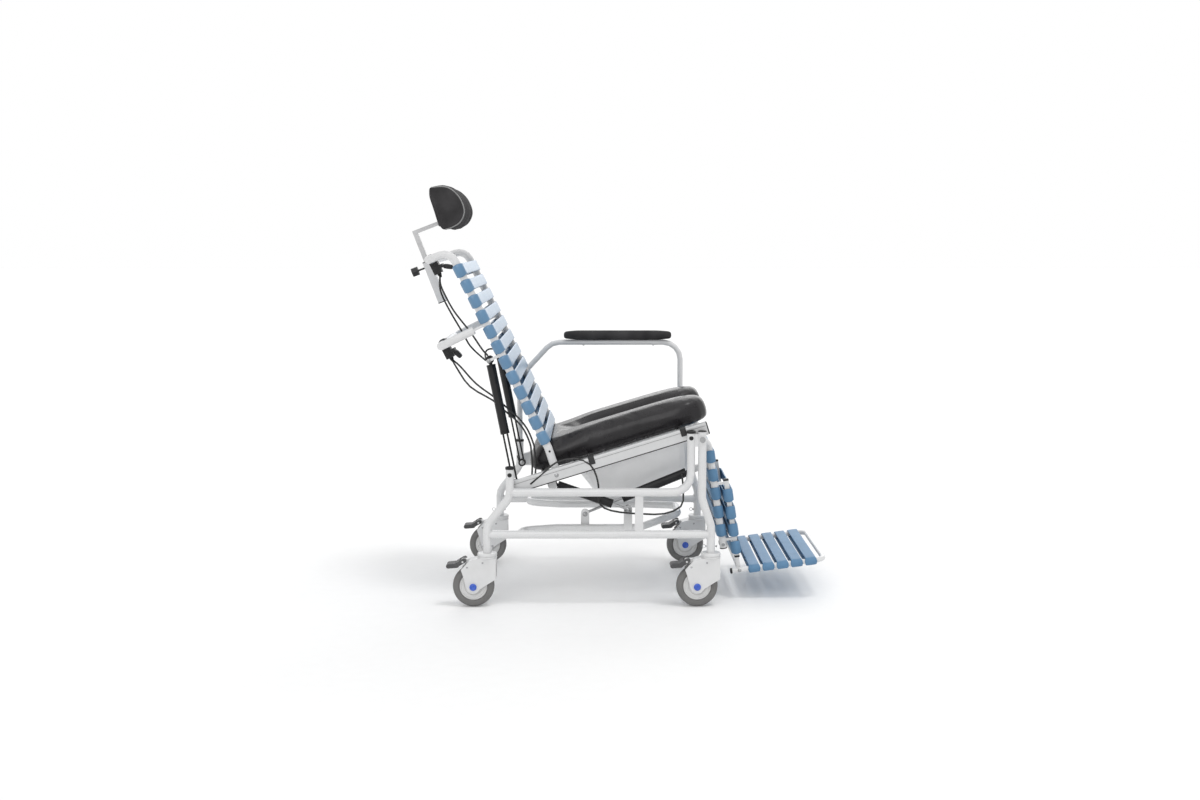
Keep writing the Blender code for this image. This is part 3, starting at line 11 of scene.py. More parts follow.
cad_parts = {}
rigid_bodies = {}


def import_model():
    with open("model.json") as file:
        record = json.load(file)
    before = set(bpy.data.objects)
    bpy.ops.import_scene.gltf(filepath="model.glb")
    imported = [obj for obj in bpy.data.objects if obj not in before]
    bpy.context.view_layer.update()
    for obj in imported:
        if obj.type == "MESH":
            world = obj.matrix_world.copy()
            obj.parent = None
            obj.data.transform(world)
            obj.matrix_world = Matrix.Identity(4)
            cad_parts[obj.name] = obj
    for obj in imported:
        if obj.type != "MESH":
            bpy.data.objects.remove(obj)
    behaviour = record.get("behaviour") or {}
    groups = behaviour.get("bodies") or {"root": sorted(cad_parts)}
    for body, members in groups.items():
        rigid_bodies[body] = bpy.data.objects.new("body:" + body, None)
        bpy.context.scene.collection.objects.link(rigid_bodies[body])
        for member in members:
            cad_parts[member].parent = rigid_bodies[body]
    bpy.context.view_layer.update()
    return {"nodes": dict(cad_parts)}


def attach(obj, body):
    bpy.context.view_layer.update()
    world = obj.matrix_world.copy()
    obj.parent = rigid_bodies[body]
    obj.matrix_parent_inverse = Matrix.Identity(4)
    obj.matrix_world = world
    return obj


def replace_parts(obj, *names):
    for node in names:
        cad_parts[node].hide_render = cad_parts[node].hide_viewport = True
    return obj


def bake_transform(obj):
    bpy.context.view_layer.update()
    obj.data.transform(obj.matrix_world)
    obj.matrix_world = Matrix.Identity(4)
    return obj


for leftover in list(bpy.data.objects):
    bpy.data.objects.remove(leftover, do_unlink=True)

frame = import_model()
nodes = frame["nodes"]

# Places and sizes of the frame
FIT = 0.0003
TUBE_R = 0.0127
SIDE_Y = 0.295
REAR_LEG_X, REAR_POST_X, REAR_POST_TOP = -0.3925, -0.323, 0.425
FRONT_POST_X, FRONT_LEG_TOP_X, FRONT_LEG_X, FRONT_TOP = 0.2265, 0.2605, 0.288, 0.535
CASTER_TOP, TRAIL, WHEEL_R = 0.165, 0.042, 0.0635
KNEE = Vector((0.2605, 0, 0.512))
SEAT_ANGLE = math.radians(17.2)
RAIL_Y, RAIL_Z, RAIL_HALF_W, RAIL_HALF_H = 0.27, 0.0255, 0.01, 0.019
RAIL_X = (-0.6035, 0.0245)
BACK_HINGE_X = -0.4555
BACK_ANGLE = math.radians(26.2)
CANE_Y, CANE_X = 0.245, 0.011
STRAP_COUNT, STRAP_FIRST_Z, STRAP_PITCH = 12, 0.116, 0.0517
STRAP_WIDTH, STRAP_THICK = 0.04, 0.0045
PUSH_BAR = (-0.065, 0.757)
HANDLE = (-0.15, STRAP_FIRST_Z + 7.5 * STRAP_PITCH)
SPRING_LUG = (-0.0325, STRAP_FIRST_Z + 5.5 * STRAP_PITCH)
RECLINE_Y, EYE_R = 0.205, 0.013
LEVER_Y, LEVER_HEIGHT = -0.1, 0.036
LEG_ANGLE = math.radians(8.5)
CALF_Y, CALF_X, CALF_R, CALF_WIDTH = 0.19, 0.022, 0.011, 0.038
SHIN_X, SHIN_HALF = 0.06, 0.0075
FOOT_Y, FOOT_R, FOOT_WIDTH = 0.2065, 0.008, 0.036
FOOT_ANGLE = math.radians(7.3)
FOOT_HINGE_Z, FOOT_TAIL = -0.436, 0.022
# Rows of straps along the leg and foot: count, first place, spacing
CALF_ROW, SHIN_ROW, FOOT_ROW = (5, -0.0725, -0.0583), (4, -0.2001, -0.0552), (5, 0.0462, 0.0443)
SOCKET_CENTRE, SOCKET_HALF, SOCKET_LENGTH = (-0.1007, 0, 0.693), 0.013, 0.135
HEADREST_LEAN, PAD_LEAN = math.radians(5.0), math.radians(7.0)
HEAD_NOSE = (0.0794, 0, 0.1696)
UPPER_RAIL_Z, LOWER_RAIL_Z = 0.3495, 0.2203
SHIN_TOP, SHIN_LOW, CALF_LOW = -0.155, -0.392, -0.362
ARM_R, ARM_TOP_Z = 0.0095, 0.762
RECLINE_SEAT_X = -0.5906
TILT_SEAT, TILT_BASE, TILT_Y = Vector((-0.19459, 0, 0.364008)), Vector((0.0375, 0, 0.283)), -0.218
LEG_SPRING_TOP, LEG_SPRING_BASE = Vector((0.2345, 0, 0.397)), Vector((-0.0955, 0, 0.262))
LEG_SPRING_Y = -0.172
EYE_HALF, SPRING_NECK, SPRING_R, TILT_R = 0.006, 0.016, 0.014, 0.0135
RECLINE_LENGTH, TILT_LENGTH, LEG_SPRING_LENGTH = 0.218, 0.178, 0.215
CROSS_R, CROSS_X = 0.0095, (-0.5, -0.06)
COLLAR_R, COLLAR_H, FORK_HALF = 0.0285, 0.016, 0.0245
PEDAL = Vector((-0.074, 0, 0.14))
UP, DOWN = (0, 0, 1), (0, 0, -1)
SIDES = (-1, 1)

shift = Matrix.Translation


def placing(origin, lean):
    """Matrix to the world from a local frame whose +x is turned up by lean."""
    return shift(origin) @ Matrix.Rotation(-lean, 4, "Y")


SEAT = placing(KNEE, SEAT_ANGLE)
BACK = placing(SEAT @ Vector((BACK_HINGE_X, 0, RAIL_Z)), BACK_ANGLE)
LEG = placing(KNEE, LEG_ANGLE)
FOOT = placing(LEG @ Vector((SHIN_X, 0, FOOT_HINGE_Z)), FOOT_ANGLE - math.pi / 2)
HEAD = BACK @ shift(SOCKET_CENTRE) @ Matrix.Rotation(HEADREST_LEAN, 4, "Y")
PAD = HEAD @ shift(HEAD_NOSE) @ Matrix.Rotation(PAD_LEAN, 4, "Y")
LUG = BACK @ Vector((SPRING_LUG[0], 0, SPRING_LUG[1]))
RECLINE_FOOT = SEAT @ Vector((RECLINE_SEAT_X, 0, RAIL_Z))


# Materials

NOISE_SPAN = (0.3, 0.7)
# Coated upholstery: slow creases, a soft sheen and, with pores, pebbled cells
COATED = {"spread": 14, "grain": 60, "detail": 3.0, "bump": (0.12, 0.0004)}


def new_node(tree, kind, sockets):
    """A shader node with its inputs set or linked."""
    node = tree.nodes.new(kind)
    for socket, value in sockets.items():
        if isinstance(value, bpy.types.NodeSocket):
            tree.links.new(value, node.inputs[socket])
        else:
            node.inputs[socket].default_value = value
    return node


def coords(tree, stretch=None):
    """Object coordinates, stretched along the axes if wanted."""
    output = tree.nodes.new("ShaderNodeTexCoord").outputs["Object"]
    if stretch is None:
        return output
    return new_node(tree, "ShaderNodeMapping", {"Vector": output, "Scale": stretch}).outputs["Vector"]


def noise(tree, scale, detail=3.0, stretch=None):
    """A noise value in the object's own space."""
    sockets = {"Scale": scale, "Detail": detail, "Vector": coords(tree, stretch)}
    return new_node(tree, "ShaderNodeTexNoise", sockets).outputs["Fac"]


def ranged(tree, value, low, high):
    """A noise value spread between low and high."""
    start, end = NOISE_SPAN
    sockets = {"Value": value, "From Min": start, "From Max": end, "To Min": low, "To Max": high}
    return new_node(tree, "ShaderNodeMapRange", sockets).outputs["Result"]


def mixed(tree, value, dark, light):
    """A colour between dark and light."""
    ramp = new_node(tree, "ShaderNodeValToRGB", {"Fac": value})
    for stop, position, colour in zip(ramp.color_ramp.elements, NOISE_SPAN, (dark, light)):
        stop.position = position
        stop.color = (*colour, 1)
    return ramp.outputs["Color"]


def bumped(tree, shader, height, strength, distance):
    """Bump from a height value."""
    node = new_node(tree, "ShaderNodeBump", {"Height": height, "Strength": strength, "Distance": distance})
    tree.links.new(node.outputs["Normal"], shader.inputs["Normal"])


def finish(
    name, dark, light, rough, spread=25, grain=1500, detail=2.0, bump=(0.15, 0.0002),
    stretch=None, pores=None, **sockets
):
    """A surface with uneven colour and gloss, and a fine grain or pebbled cells."""
    made = bpy.data.materials.new(name)
    made.use_nodes = True
    made.diffuse_color = (*light, 1)
    tree = made.node_tree
    shader = tree.nodes["Principled BSDF"]
    fine = noise(tree, grain, detail, stretch)
    tree.links.new(mixed(tree, noise(tree, spread), dark, light), shader.inputs["Base Color"])
    tree.links.new(ranged(tree, fine, *rough), shader.inputs["Roughness"])
    if pores:
        cells = new_node(tree, "ShaderNodeTexVoronoi", {"Scale": pores, "Vector": coords(tree)})
        cells.feature = "SMOOTH_F1"
        bumped(tree, shader, cells.outputs["Distance"], *bump)
    else:
        bumped(tree, shader, fine, *bump)
    for socket, value in sockets.items():
        shader.inputs[socket.replace("_", " ")].default_value = value
    return made


POWDER = finish(
    "white_powder_coat", (0.67, 0.673, 0.677), (0.7, 0.703, 0.707), (0.24, 0.34), grain=420, Coat_Weight=0.2
)
RAIL_WHITE = finish(
    "rail_coat", (0.59, 0.594, 0.598), (0.625, 0.629, 0.633), (0.26, 0.36), grain=420, Coat_Weight=0.2
)
CASTER_WHITE = finish("white_plastic", (0.66, 0.662, 0.664), (0.7, 0.702, 0.704), (0.34, 0.46), grain=1700)
TYRE = finish("grey_rubber", (0.14, 0.138, 0.135), (0.17, 0.168, 0.164), (0.52, 0.7), grain=1400)
HUB = finish("pale_hub", (0.62, 0.62, 0.615), (0.67, 0.67, 0.665), (0.34, 0.46))
CAP_BLUE = finish("blue_cap", (0.035, 0.1, 0.5), (0.05, 0.13, 0.58), (0.22, 0.32))
DARK = finish(
    "dark_plastic", (0.012, 0.012, 0.013), (0.022, 0.022, 0.023), (0.38, 0.52),
    Specular_IOR_Level=0.4,
)
PEDAL_GREY = finish("pedal_grey", (0.05, 0.05, 0.052), (0.075, 0.075, 0.077), (0.42, 0.58))
BLACK = finish(
    "black_coat", (0.006, 0.006, 0.007), (0.011, 0.011, 0.012), (0.3, 0.42),
    grain=1300, Specular_IOR_Level=0.35,
)
RUBBER = finish("black_rubber", (0.01, 0.01, 0.01), (0.018, 0.018, 0.018), (0.48, 0.62), grain=1600)
WEBBING = finish(
    "black_webbing", (0.012, 0.012, 0.013), (0.024, 0.024, 0.025), (0.6, 0.8), grain=1300, bump=(0.5, 0.0004)
)
STEEL = finish(
    "steel", (0.32, 0.325, 0.33), (0.42, 0.425, 0.43), (0.22, 0.36),
    grain=500, stretch=(1, 1, 14), Metallic=1.0,
)
ALUMINIUM = finish(
    "grey_bar", (0.48, 0.48, 0.485), (0.55, 0.55, 0.555), (0.34, 0.48),
    grain=420, stretch=(1, 12, 1), Metallic=0.35,
)
# Pale plastic of the pan, its base raised above the frame's white: painted light against the shade under the
# cushion
PAN_PAINTED_LIGHT = finish("pale_plastic", (0.86, 0.865, 0.87), (0.9, 0.905, 0.91), (0.3, 0.42), grain=1400)
BLUE = finish(
    "blue_strap", (0.092, 0.208, 0.352), (0.11, 0.24, 0.396), (0.3, 0.42),
    spread=18, bump=(0.25, 0.0003), stretch=(1, 0.05, 1),
    Coat_Weight=0.4, Coat_Roughness=0.2, Specular_IOR_Level=0.5,
)
BLUE_MATT = finish(
    "blue_strap_matt", (0.088, 0.2, 0.34), (0.105, 0.23, 0.382), (0.46, 0.58),
    spread=18, bump=(0.3, 0.0003), stretch=(1, 0.05, 1), Specular_IOR_Level=0.4,
)
FLOOR = finish("floor", (0.955, 0.955, 0.955), (0.97, 0.97, 0.97), (0.7, 0.8), grain=900)
# Dark grey of a thin strip under each rail's lip: painted shadow of the groove there
GROOVE_SHADOW_GREY = finish("painted_groove_shadow", (0.2, 0.2, 0.205), (0.26, 0.26, 0.265), (0.5, 0.65), grain=1400)
VINYL = finish(
    "black_vinyl", (0.011, 0.01, 0.0112), (0.018, 0.0164, 0.0184), (0.25, 0.33),
    pores=620, Specular_IOR_Level=0.3, **COATED,
)
PAD_VINYL = finish(
    "pad_vinyl", (0.03, 0.029, 0.03), (0.062, 0.06, 0.062), (0.86, 0.98),
    pores=480, Specular_IOR_Level=0.1, **COATED,
)
PIPING = finish(
    "grey_piping", (0.2, 0.2, 0.2), (0.27, 0.27, 0.27), (0.34, 0.46),
    pores=620, Specular_IOR_Level=0.4, **COATED,
)


# Shapes

LEAST_R, LEAST_CORNER = 0.00002, 0.0004
BEAD_R, BEAD_RIPPLE, BEAD_WAVES, BEAD_STEPS, BEAD_SIDES = 0.0019, 0.22, 16, 48, 8
BAND_ANGLE, SOFT_ANGLE, WHEEL_ANGLE = 50, 80, 30
WASHER_LIFT = 0.0002
# Button head and six-sided nut: shares of the radius and of the height, corners where flat
BOLT = (
    (1.35, 0.16), (1.28, 0.22), (1, 0.24), (1, 0.5), (0.86, 0.82), (0.6, 1),
    (0.5, 1, 6), (0.47, 0.55, 6), (0, 0.5),
)
NUT = (
    (1.25, 0.14), (0.92, 0.2, 6), (1, 0.3, 6), (1, 0.72, 6), (0.86, 0.8), (0.5, 0.82),
    (0.48, 1.1), (0.38, 1.2), (0, 1.2),
)


def linked(name, data):
    """A new object in the scene."""
    obj = bpy.data.objects.new(name, data)
    bpy.context.scene.collection.objects.link(obj)
    return obj


def piece(name, mesh, look, body, smooth=40):
    """A named piece in the world's frame that rides on a body."""
    mesh.materials.clear()
    mesh.materials.append(look)
    mesh.shade_smooth()
    mesh.set_sharp_from_angle(angle=math.radians(smooth))
    obj = linked(name, mesh)
    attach(obj, body)
    return obj


def to_mesh(bm):
    """The mesh of a bmesh, faces turned outward."""
    bmesh.ops.recalc_face_normals(bm, faces=bm.faces)
    mesh = bpy.data.meshes.new("form")
    bm.to_mesh(mesh)
    bm.free()
    return mesh


def joined(meshes):
    """One mesh of several."""
    bm = bmesh.new()
    for mesh in meshes:
        bm.from_mesh(mesh)
    return to_mesh(bm)


def fitted(name, meshes, look, body):
    """Small fittings of one finish as one piece on a body."""
    piece(name, joined(meshes), look, body)


def lofted(rings, closed=False):
    """A mesh through rings of equal length: capped, or closed on itself."""
    bm = bmesh.new()
    loops = [[bm.verts.new(point) for point in ring] for ring in rings]
    count = len(loops[0])
    pairs = list(zip(loops, loops[1:]))
    if closed:
        pairs.append((loops[-1], loops[0]))
    for lower, upper in pairs:
        for i in range(count):
            j = (i + 1) % count
            bm.faces.new((lower[i], lower[j], upper[j], upper[i]))
    if not closed:
        bm.faces.new(reversed(loops[0]))
        bm.faces.new(loops[-1])
    return to_mesh(bm)


def circle(centre, across, other, radius, steps):
    """Points round a centre in the plane of two unit vectors."""
    turns = [math.tau * k / steps for k in range(steps)]
    return [centre + radius * (math.cos(t) * across + math.sin(t) * other) for t in turns]


def turned_ring(start, axis, radius, height, steps, corners=0):
    """One ring of a turned shape, round or with that many flat sides."""
    axis = Vector(axis).normalized()
    across = axis.orthogonal().normalized()
    other = axis.cross(across)
    centre = Vector(start) + axis * height
    points = []
    for k in range(steps):
        angle = math.tau * k / steps
        reach = max(radius, LEAST_R)
        if corners:
            half = math.pi / corners
            reach *= math.cos(half) / math.cos(angle % (2 * half) - half)
        points.append(centre + (across * math.cos(angle) + other * math.sin(angle)) * reach)
    return points


def lathe(profile, start, axis, steps=24, closed=False):
    """Entries (radius, height) or (radius, height, corners) turned about an axis: capped, or a ring."""
    return lofted([turned_ring(start, axis, *e[:2], steps, *e[2:]) for e in profile], closed)


def rounded_rect(half_u, half_v, corner, steps=4):
    """Outline of a rounded rectangle."""
    points = []
    for u, v, start in ((1, 1, 0), (-1, 1, 90), (-1, -1, 180), (1, -1, 270)):
        for k in range(steps + 1):
            angle = math.radians(start + 90 * k / steps)
            along = u * (half_u - corner) + corner * math.cos(angle)
            across = v * (half_v - corner) + corner * math.sin(angle)
            points.append((along, across))
    return points


def plate(place, half_u, half_v, corner, levels):
    """A rounded plate in its own frame: pairs (inset, height) over its base."""
    rings = []
    for inset, height in levels:
        outline = rounded_rect(half_u - inset, half_v - inset, max(corner - inset, LEAST_CORNER))
        rings.append([place @ Vector((u, v, height)) for u, v in outline])
    return lofted(rings)


def square_rim(place, outer, inner, height, corner=0.003):
    """A square collar round a square bar."""
    levels = ((outer, 0.0), (outer, height * 0.75), (outer - 0.0007, height), (inner, height), (inner, 0.0))
    rings = []
    for half, level in levels:
        outline = rounded_rect(half, half, corner * half / outer)
        rings.append([place @ Vector((u, v, level)) for u, v in outline])
    return lofted(rings, closed=True)


def head(form, place, axis, radius, height):
    """A bolt's head or a nut on its washer, from shares of a radius and a height."""
    profile = [(radius * form[0][0], WASHER_LIFT)]
    profile += [(radius * share, height * level, *flats) for share, level, *flats in form]
    return lathe(profile, place, axis)


def end_plug(place, axis, tube, length=0.0045):
    """Domed plug in a tube's end."""
    rim = tube + 0.0008
    skirt = ((tube + 0.0004, 0.0002), (rim, 0.001), (rim, length - 0.0023))
    dome = ((tube * 0.93, length - 0.0011), (tube * 0.6, length - 0.0003), (0.0, length))
    return lathe((*skirt, *dome), place, axis)


def socket_rim(place, axis, bore, tube):
    """Liner with a lip on a tube's open end."""
    lip = ((bore, 0.0002), (bore, 0.0026), (bore + 0.001, 0.0034), (tube + 0.0002, 0.0031))
    outer, inner = tube + 0.0011, tube + 0.0003
    skirt = ((outer, 0.0022), (outer, -0.0042), (inner, -0.0048), (inner, 0.0002))
    return lathe((*lip, *skirt), place, axis, steps=28, closed=True)


def weld_bead(centre, along, up, tube, main):
    """Rippled weld where a round tube meets a round post, or a flat wall where main is 0."""
    centre, along, up = Vector(centre), Vector(along), Vector(up)
    side = along.cross(up)
    rings = []
    for k in range(BEAD_STEPS):
        turn = math.tau * k / BEAD_STEPS
        out = up * math.cos(turn) + side * math.sin(turn)
        sink = math.sqrt(max(main ** 2 - (tube * math.sin(turn)) ** 2, 0.0))
        reach = BEAD_R * (1 + BEAD_RIPPLE * math.sin(BEAD_WAVES * turn))
        rings.append(circle(centre + along * sink + out * tube, out, along, reach, BEAD_SIDES))
    return lofted(rings, closed=True)


def tube_along(route, radius, sides=12, part=slice(None)):
    """A closed round tube along a route, or along a part of it, for short smooth runs."""
    rings = []
    normal = Vector((0, 1, 0))
    for i, point in enumerate(route):
        tangent = (route[min(i + 1, len(route) - 1)] - route[max(i - 1, 0)]).normalized()
        if i == 0 and abs(tangent.y) > 0.9:
            normal = Vector((1, 0, 0))
        normal = (normal - tangent * normal.dot(tangent)).normalized()
        rings.append(circle(point, normal, tangent.cross(normal), radius, sides))
    return lofted(rings[part])


def smooth_route(points, per_span):
    """Points of a smooth curve through a route's own points."""
    points = [Vector(p) for p in points]
    ends = [2 * points[0] - points[1], *points, 2 * points[-1] - points[-2]]
    route = []
    for before, start, end, after in zip(ends, ends[1:], ends[2:], ends[3:]):
        for step in range(per_span):
            t = step / per_span
            linear = (end - before) * t
            square = (2 * before - 5 * start + 4 * end - after) * t ** 2
            cube = (3 * start - before - 3 * end + after) * t ** 3
            route.append(start + (linear + square + cube) / 2)
    return route + [points[-1]]


# Camera

SENSOR, LENS, SHIFT_Y = 36.0, 43.15, -0.0492
CAMERA_PLACE = (-0.0615, -4.615, 1.135)
CAMERA_TURN = (math.radians(90 - 4.295), 0, -0.0028)


def camera():
    """The photograph's camera: 4.6 m to the right of the chair, just below its headrest's level."""
    data = bpy.data.cameras.new("camera")
    data.sensor_width, data.lens, data.shift_y = SENSOR, LENS, SHIFT_Y
    obj = linked("camera", data)
    obj.location, obj.rotation_euler = CAMERA_PLACE, CAMERA_TURN
    bpy.context.scene.camera = obj


# Release cables

CABLE_D, CABLE_SETBACK = 0.0056, 0.032
NEAR_STEPS, FAR_STEPS, TILT_STEPS, LEGREST_STEPS = 5, 4, 3, 2
RELIEF_DROP, RELIEF_RIBS = 0.012, 4
RELIEF_FOOT, RELIEF_TIP = ((0.0064, 0.0), (0.0068, 0.001), (0.0068, 0.004)), (0.0031, 0.0135)
RELIEF_FIRST, RELIEF_STEP = (0.0062, 0.0045), (-0.0007, 0.0022)
RELIEF_RIB = ((-0.0007, 0.0), (0.0, 0.0006), (0.0, 0.0014))
RECLINE_NEAR = (
    (-0.549, -0.104, 0.976), (-0.536, -0.115, 0.946), (-0.5035, -0.14, 0.892),
    (-0.4532, -0.175, 0.8335), (-0.4361, -0.19, 0.8117), (-0.411, -0.203, 0.777),
)
RECLINE_FAR = (
    (-0.552, -0.099, 0.972), (-0.5454, -0.1, 0.9414), (-0.5211, -0.1, 0.8915),
    (-0.4808, -0.09, 0.8197), (-0.46, -0.06, 0.776), (-0.425, 0.03, 0.728),
    (-0.427, 0.13, 0.718), (-0.432, 0.185, 0.735), (-0.422, 0.203, 0.7455),
)
TILT_FIRST = (
    (-0.501, -0.104, 0.713), (-0.4562, -0.135, 0.6557), (-0.382, -0.165, 0.6153),
    (-0.3503, -0.175, 0.5885), (-0.3124, -0.185, 0.5588), (-0.284, -0.195, 0.5261),
    (-0.265, -0.205, 0.4843), (-0.2617, -0.21, 0.4604), (-0.2583, -0.217, 0.4276),
    (-0.2589, -0.228, 0.3921), (-0.262, -0.246, 0.378),
)
TILT_SECOND = (
    (-0.488, -0.098, 0.714), (-0.438, -0.126, 0.664), (-0.374, -0.153, 0.621),
    (-0.34, -0.164, 0.5935), (-0.303, -0.174, 0.562), (-0.2745, -0.184, 0.5275),
    (-0.2555, -0.194, 0.4843), (-0.2515, -0.2, 0.4604), (-0.248, -0.207, 0.4276),
    (-0.2485, -0.22, 0.396), (-0.251, -0.246, 0.3815),
)
TILT_TURN = ((-0.284, -0.195, 0.5261), (-0.258, -0.217, 0.41))
LEGREST = (
    (-0.2613, -0.2793, 0.372), (-0.2159, -0.2793, 0.4113), (-0.1826, -0.2793, 0.4386),
    (-0.1251, -0.2793, 0.4507), (-0.0797, -0.2793, 0.4325), (-0.06, -0.2793, 0.396),
    (-0.0535, -0.269, 0.358), (-0.054, -0.255, 0.318), (-0.036, -0.247, 0.292),
    (0.0119, -0.243, 0.2784), (0.0854, -0.24, 0.2723), (0.1496, -0.236, 0.2723),
    (0.2, -0.23, 0.2937), (0.208, -0.226, 0.3334), (0.2052, -0.206, 0.382),
)
# Points of LEGREST where the cable leaves the seat, lies with the base and goes with the spring
LEGREST_FREE, LEGREST_BASE, LEGREST_ROD = 5, 9, 10


def cable(name, line, body, other=None, turn=None, part=slice(None)):
    """A cable along a smooth line or a part of it. With another body it rides on neither and stays in the
    world's frame.
    """
    mesh = tube_along(line, CABLE_D / 2, part=part)
    mesh.materials.append(RUBBER)
    mesh.shade_smooth()
    obj = linked(name, mesh)
    if other:
        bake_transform(obj)
    else:
        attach(obj, body)
    return obj


def relief(name, bar, node):
    """Ribbed strain relief below a lever; returns the place in it where the cables start."""
    low = bar[1] - TUBE_R - LEVER_HEIGHT
    start, end = (BACK @ Vector((bar[0], LEVER_Y, low - drop)) for drop in (FIT, RELIEF_DROP))
    profile = list(RELIEF_FOOT)
    for i in range(RELIEF_RIBS):
        reach, height = (first + i * step for first, step in zip(RELIEF_FIRST, RELIEF_STEP))
        profile += [(reach + out, height + up) for out, up in RELIEF_RIB]
    profile.append(RELIEF_TIP)
    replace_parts(piece(name, lathe(profile, start, end - start, steps=20), RUBBER, "back"), node)
    return (start + end) / 2


def cables():
    """Release cables: two to the recline springs, two into the rail, one to the legrest's spring."""
    up = BACK.to_3x3() @ Vector(UP)
    near_end = LUG + Vector((0, -RECLINE_Y, 0)) + up * (EYE_R + FIT)
    far_end = LUG + Vector((-EYE_R - FIT, RECLINE_Y, 0))
    start = relief("recline_cable_relief", PUSH_BAR, "recline_cables")
    near = smooth_route([start, *RECLINE_NEAR, near_end], NEAR_STEPS)
    far = smooth_route([start, *RECLINE_FAR, far_end], FAR_STEPS)
    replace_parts(cable("recline_cable_near", near, "back"), "recline_cables")
    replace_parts(cable("recline_cable_far", far, "back"), "recline_cables")
    start = relief("tilt_cable_relief", HANDLE, "tilt_cable")
    for name, route in (("tilt_cable_first", TILT_FIRST), ("tilt_cable_second", TILT_SECOND)):
        rail_end = (route[-1][0], FIT - RAIL_Y + RAIL_HALF_W, route[-1][2])
        line = smooth_route([start, *route, rail_end], TILT_STEPS)
        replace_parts(cable(name, line, "back", "seat", TILT_TURN), "tilt_cable")
    end = LEG_SPRING_TOP + (LEG_SPRING_BASE - LEG_SPRING_TOP).normalized() * CABLE_SETBACK
    end.y = LEG_SPRING_Y - SPRING_R - FIT * 2
    line = smooth_route([*LEGREST, end], LEGREST_STEPS)
    free, low, ahead = (i * LEGREST_STEPS for i in (LEGREST_FREE, LEGREST_BASE, LEGREST_ROD))
    rear = slice(0, low + 1), "seat", "base", (line[free], line[low])
    middle = slice(low, ahead + 1), "base", "legrest_spring_rod", (line[low], line[ahead])
    front = slice(ahead, None), "legrest_spring_rod", "legrest_spring_cylinder", (line[ahead], end)
    for suffix, (part, body, other, turn) in (("", rear), ("_middle", middle), ("_front", front)):
        stretch = cable("legrest_release_cable" + suffix, line, body, other, turn, part)
        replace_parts(stretch, "legrest_cable")


# Soft pieces

RELAX_ROUNDS, RELAX_SHARE = 3, 0.5
CLOTH_FRAMES = 20
CLOTH = {
    "quality": 5, "mass": 0.4, "use_pressure": True, "uniform_pressure_force": 4.0,
    "tension_stiffness": 12, "compression_stiffness": 12, "bending_stiffness": 1.5,
}
# Skins: voxel, depth drawn in, most that a point puffs out
CUSHION_SKIN, PAD_SKIN, ARM_SKIN = (0.006, 0.004, 0.0095), (0.004, 0.0025, 0.006), (0.004, 0.0025, 0.003)


def evaluated(obj):
    """A copy of the object's mesh with its modifiers applied."""
    bpy.context.view_layer.update()
    graph = bpy.context.evaluated_depsgraph_get()
    return bpy.data.meshes.new_from_object(obj.evaluated_get(graph))


def remeshed(mesh, voxel):
    """The mesh as an even skin."""
    obj = linked("skin", mesh)
    step = obj.modifiers.new("even", "REMESH")
    step.mode = "VOXEL"
    step.voxel_size = voxel
    made = evaluated(obj)
    bpy.data.objects.remove(obj, do_unlink=True)
    return made


def shrunk(mesh, depth):
    """The skin drawn in along its normals and relaxed."""
    for vert, normal in zip(mesh.vertices, [v.normal.copy() for v in mesh.vertices]):
        vert.co -= normal * depth
    bm = bmesh.new()
    bm.from_mesh(mesh)
    axes = {"use_axis_x": True, "use_axis_y": True, "use_axis_z": True}
    for _ in range(RELAX_ROUNDS):
        bmesh.ops.smooth_vert(bm, verts=bm.verts, factor=RELAX_SHARE, **axes)
    bm.to_mesh(mesh)
    bm.free()
    return mesh


def puffed(mesh, cap):
    """The skin blown up as cloth, each point moving no more than cap."""
    before = [v.co.copy() for v in mesh.vertices]
    obj = linked("puffed", mesh)
    scene = bpy.context.scene
    cloth = obj.modifiers.new("cloth", "CLOTH")
    for setting, value in CLOTH.items():
        setattr(cloth.settings, setting, value)
    cloth.settings.effector_weights.gravity = 0.0
    cloth.collision_settings.use_collision = False
    cloth.point_cache.frame_start, cloth.point_cache.frame_end = 1, CLOTH_FRAMES
    for step in range(1, CLOTH_FRAMES + 1):
        scene.frame_set(step)
    made = evaluated(obj)
    bpy.data.objects.remove(obj, do_unlink=True)
    scene.frame_set(1)
    for vert, start in zip(made.vertices, before):
        way = vert.co - start
        if way.length > cap:
            vert.co = start + way.normalized() * cap
    return made


def soft_mesh(node, voxel, depth, cap, shape):
    """The padded form of a CAD soft solid, its skin set out by shape first."""
    skin = remeshed(nodes[node].data.copy(), voxel)
    for vert in skin.vertices:
        vert.co = shape(vert.co)
    skin.update()
    return puffed(shrunk(skin, depth), cap)


def eased(value, start, end):
    """Smooth step of a value from 0 at start to 1 at end."""
    t = min(max((value - start) / (end - start), 0.0), 1.0)
    return t * t * (3 - 2 * t)


def rounded_off(obj):
    """One subdivision."""
    step = obj.modifiers.new("round", "SUBSURF")
    step.levels = step.render_levels = 1


CUSHION_FLOOR = RAIL_Z + CROSS_R + FIT * 2
HEEL_X, HEEL_Z, HEEL_REACH = (-0.44, -0.5), (0.1, 0.07), 0.021
CROWN_X, CROWN_Z, CROWN_RISE = (-0.42, -0.3), (CUSHION_FLOOR + 0.02, CUSHION_FLOOR + 0.08), 0.006
NOSE_X, NOSE_REACH = (-0.06, 0.04), 0.008


def cushion_shape(point):
    """Fuller nose, crown and heel of the cushion."""
    place = SEAT.inverted() @ point
    heel = eased(place.x, *HEEL_X) * eased(place.z, *HEEL_Z)
    crown = eased(place.z, *CROWN_Z) * eased(place.x, *CROWN_X)
    place.x += NOSE_REACH * eased(place.x, *NOSE_X) - HEEL_REACH * heel
    place.z += CROWN_RISE * crown
    return SEAT @ place


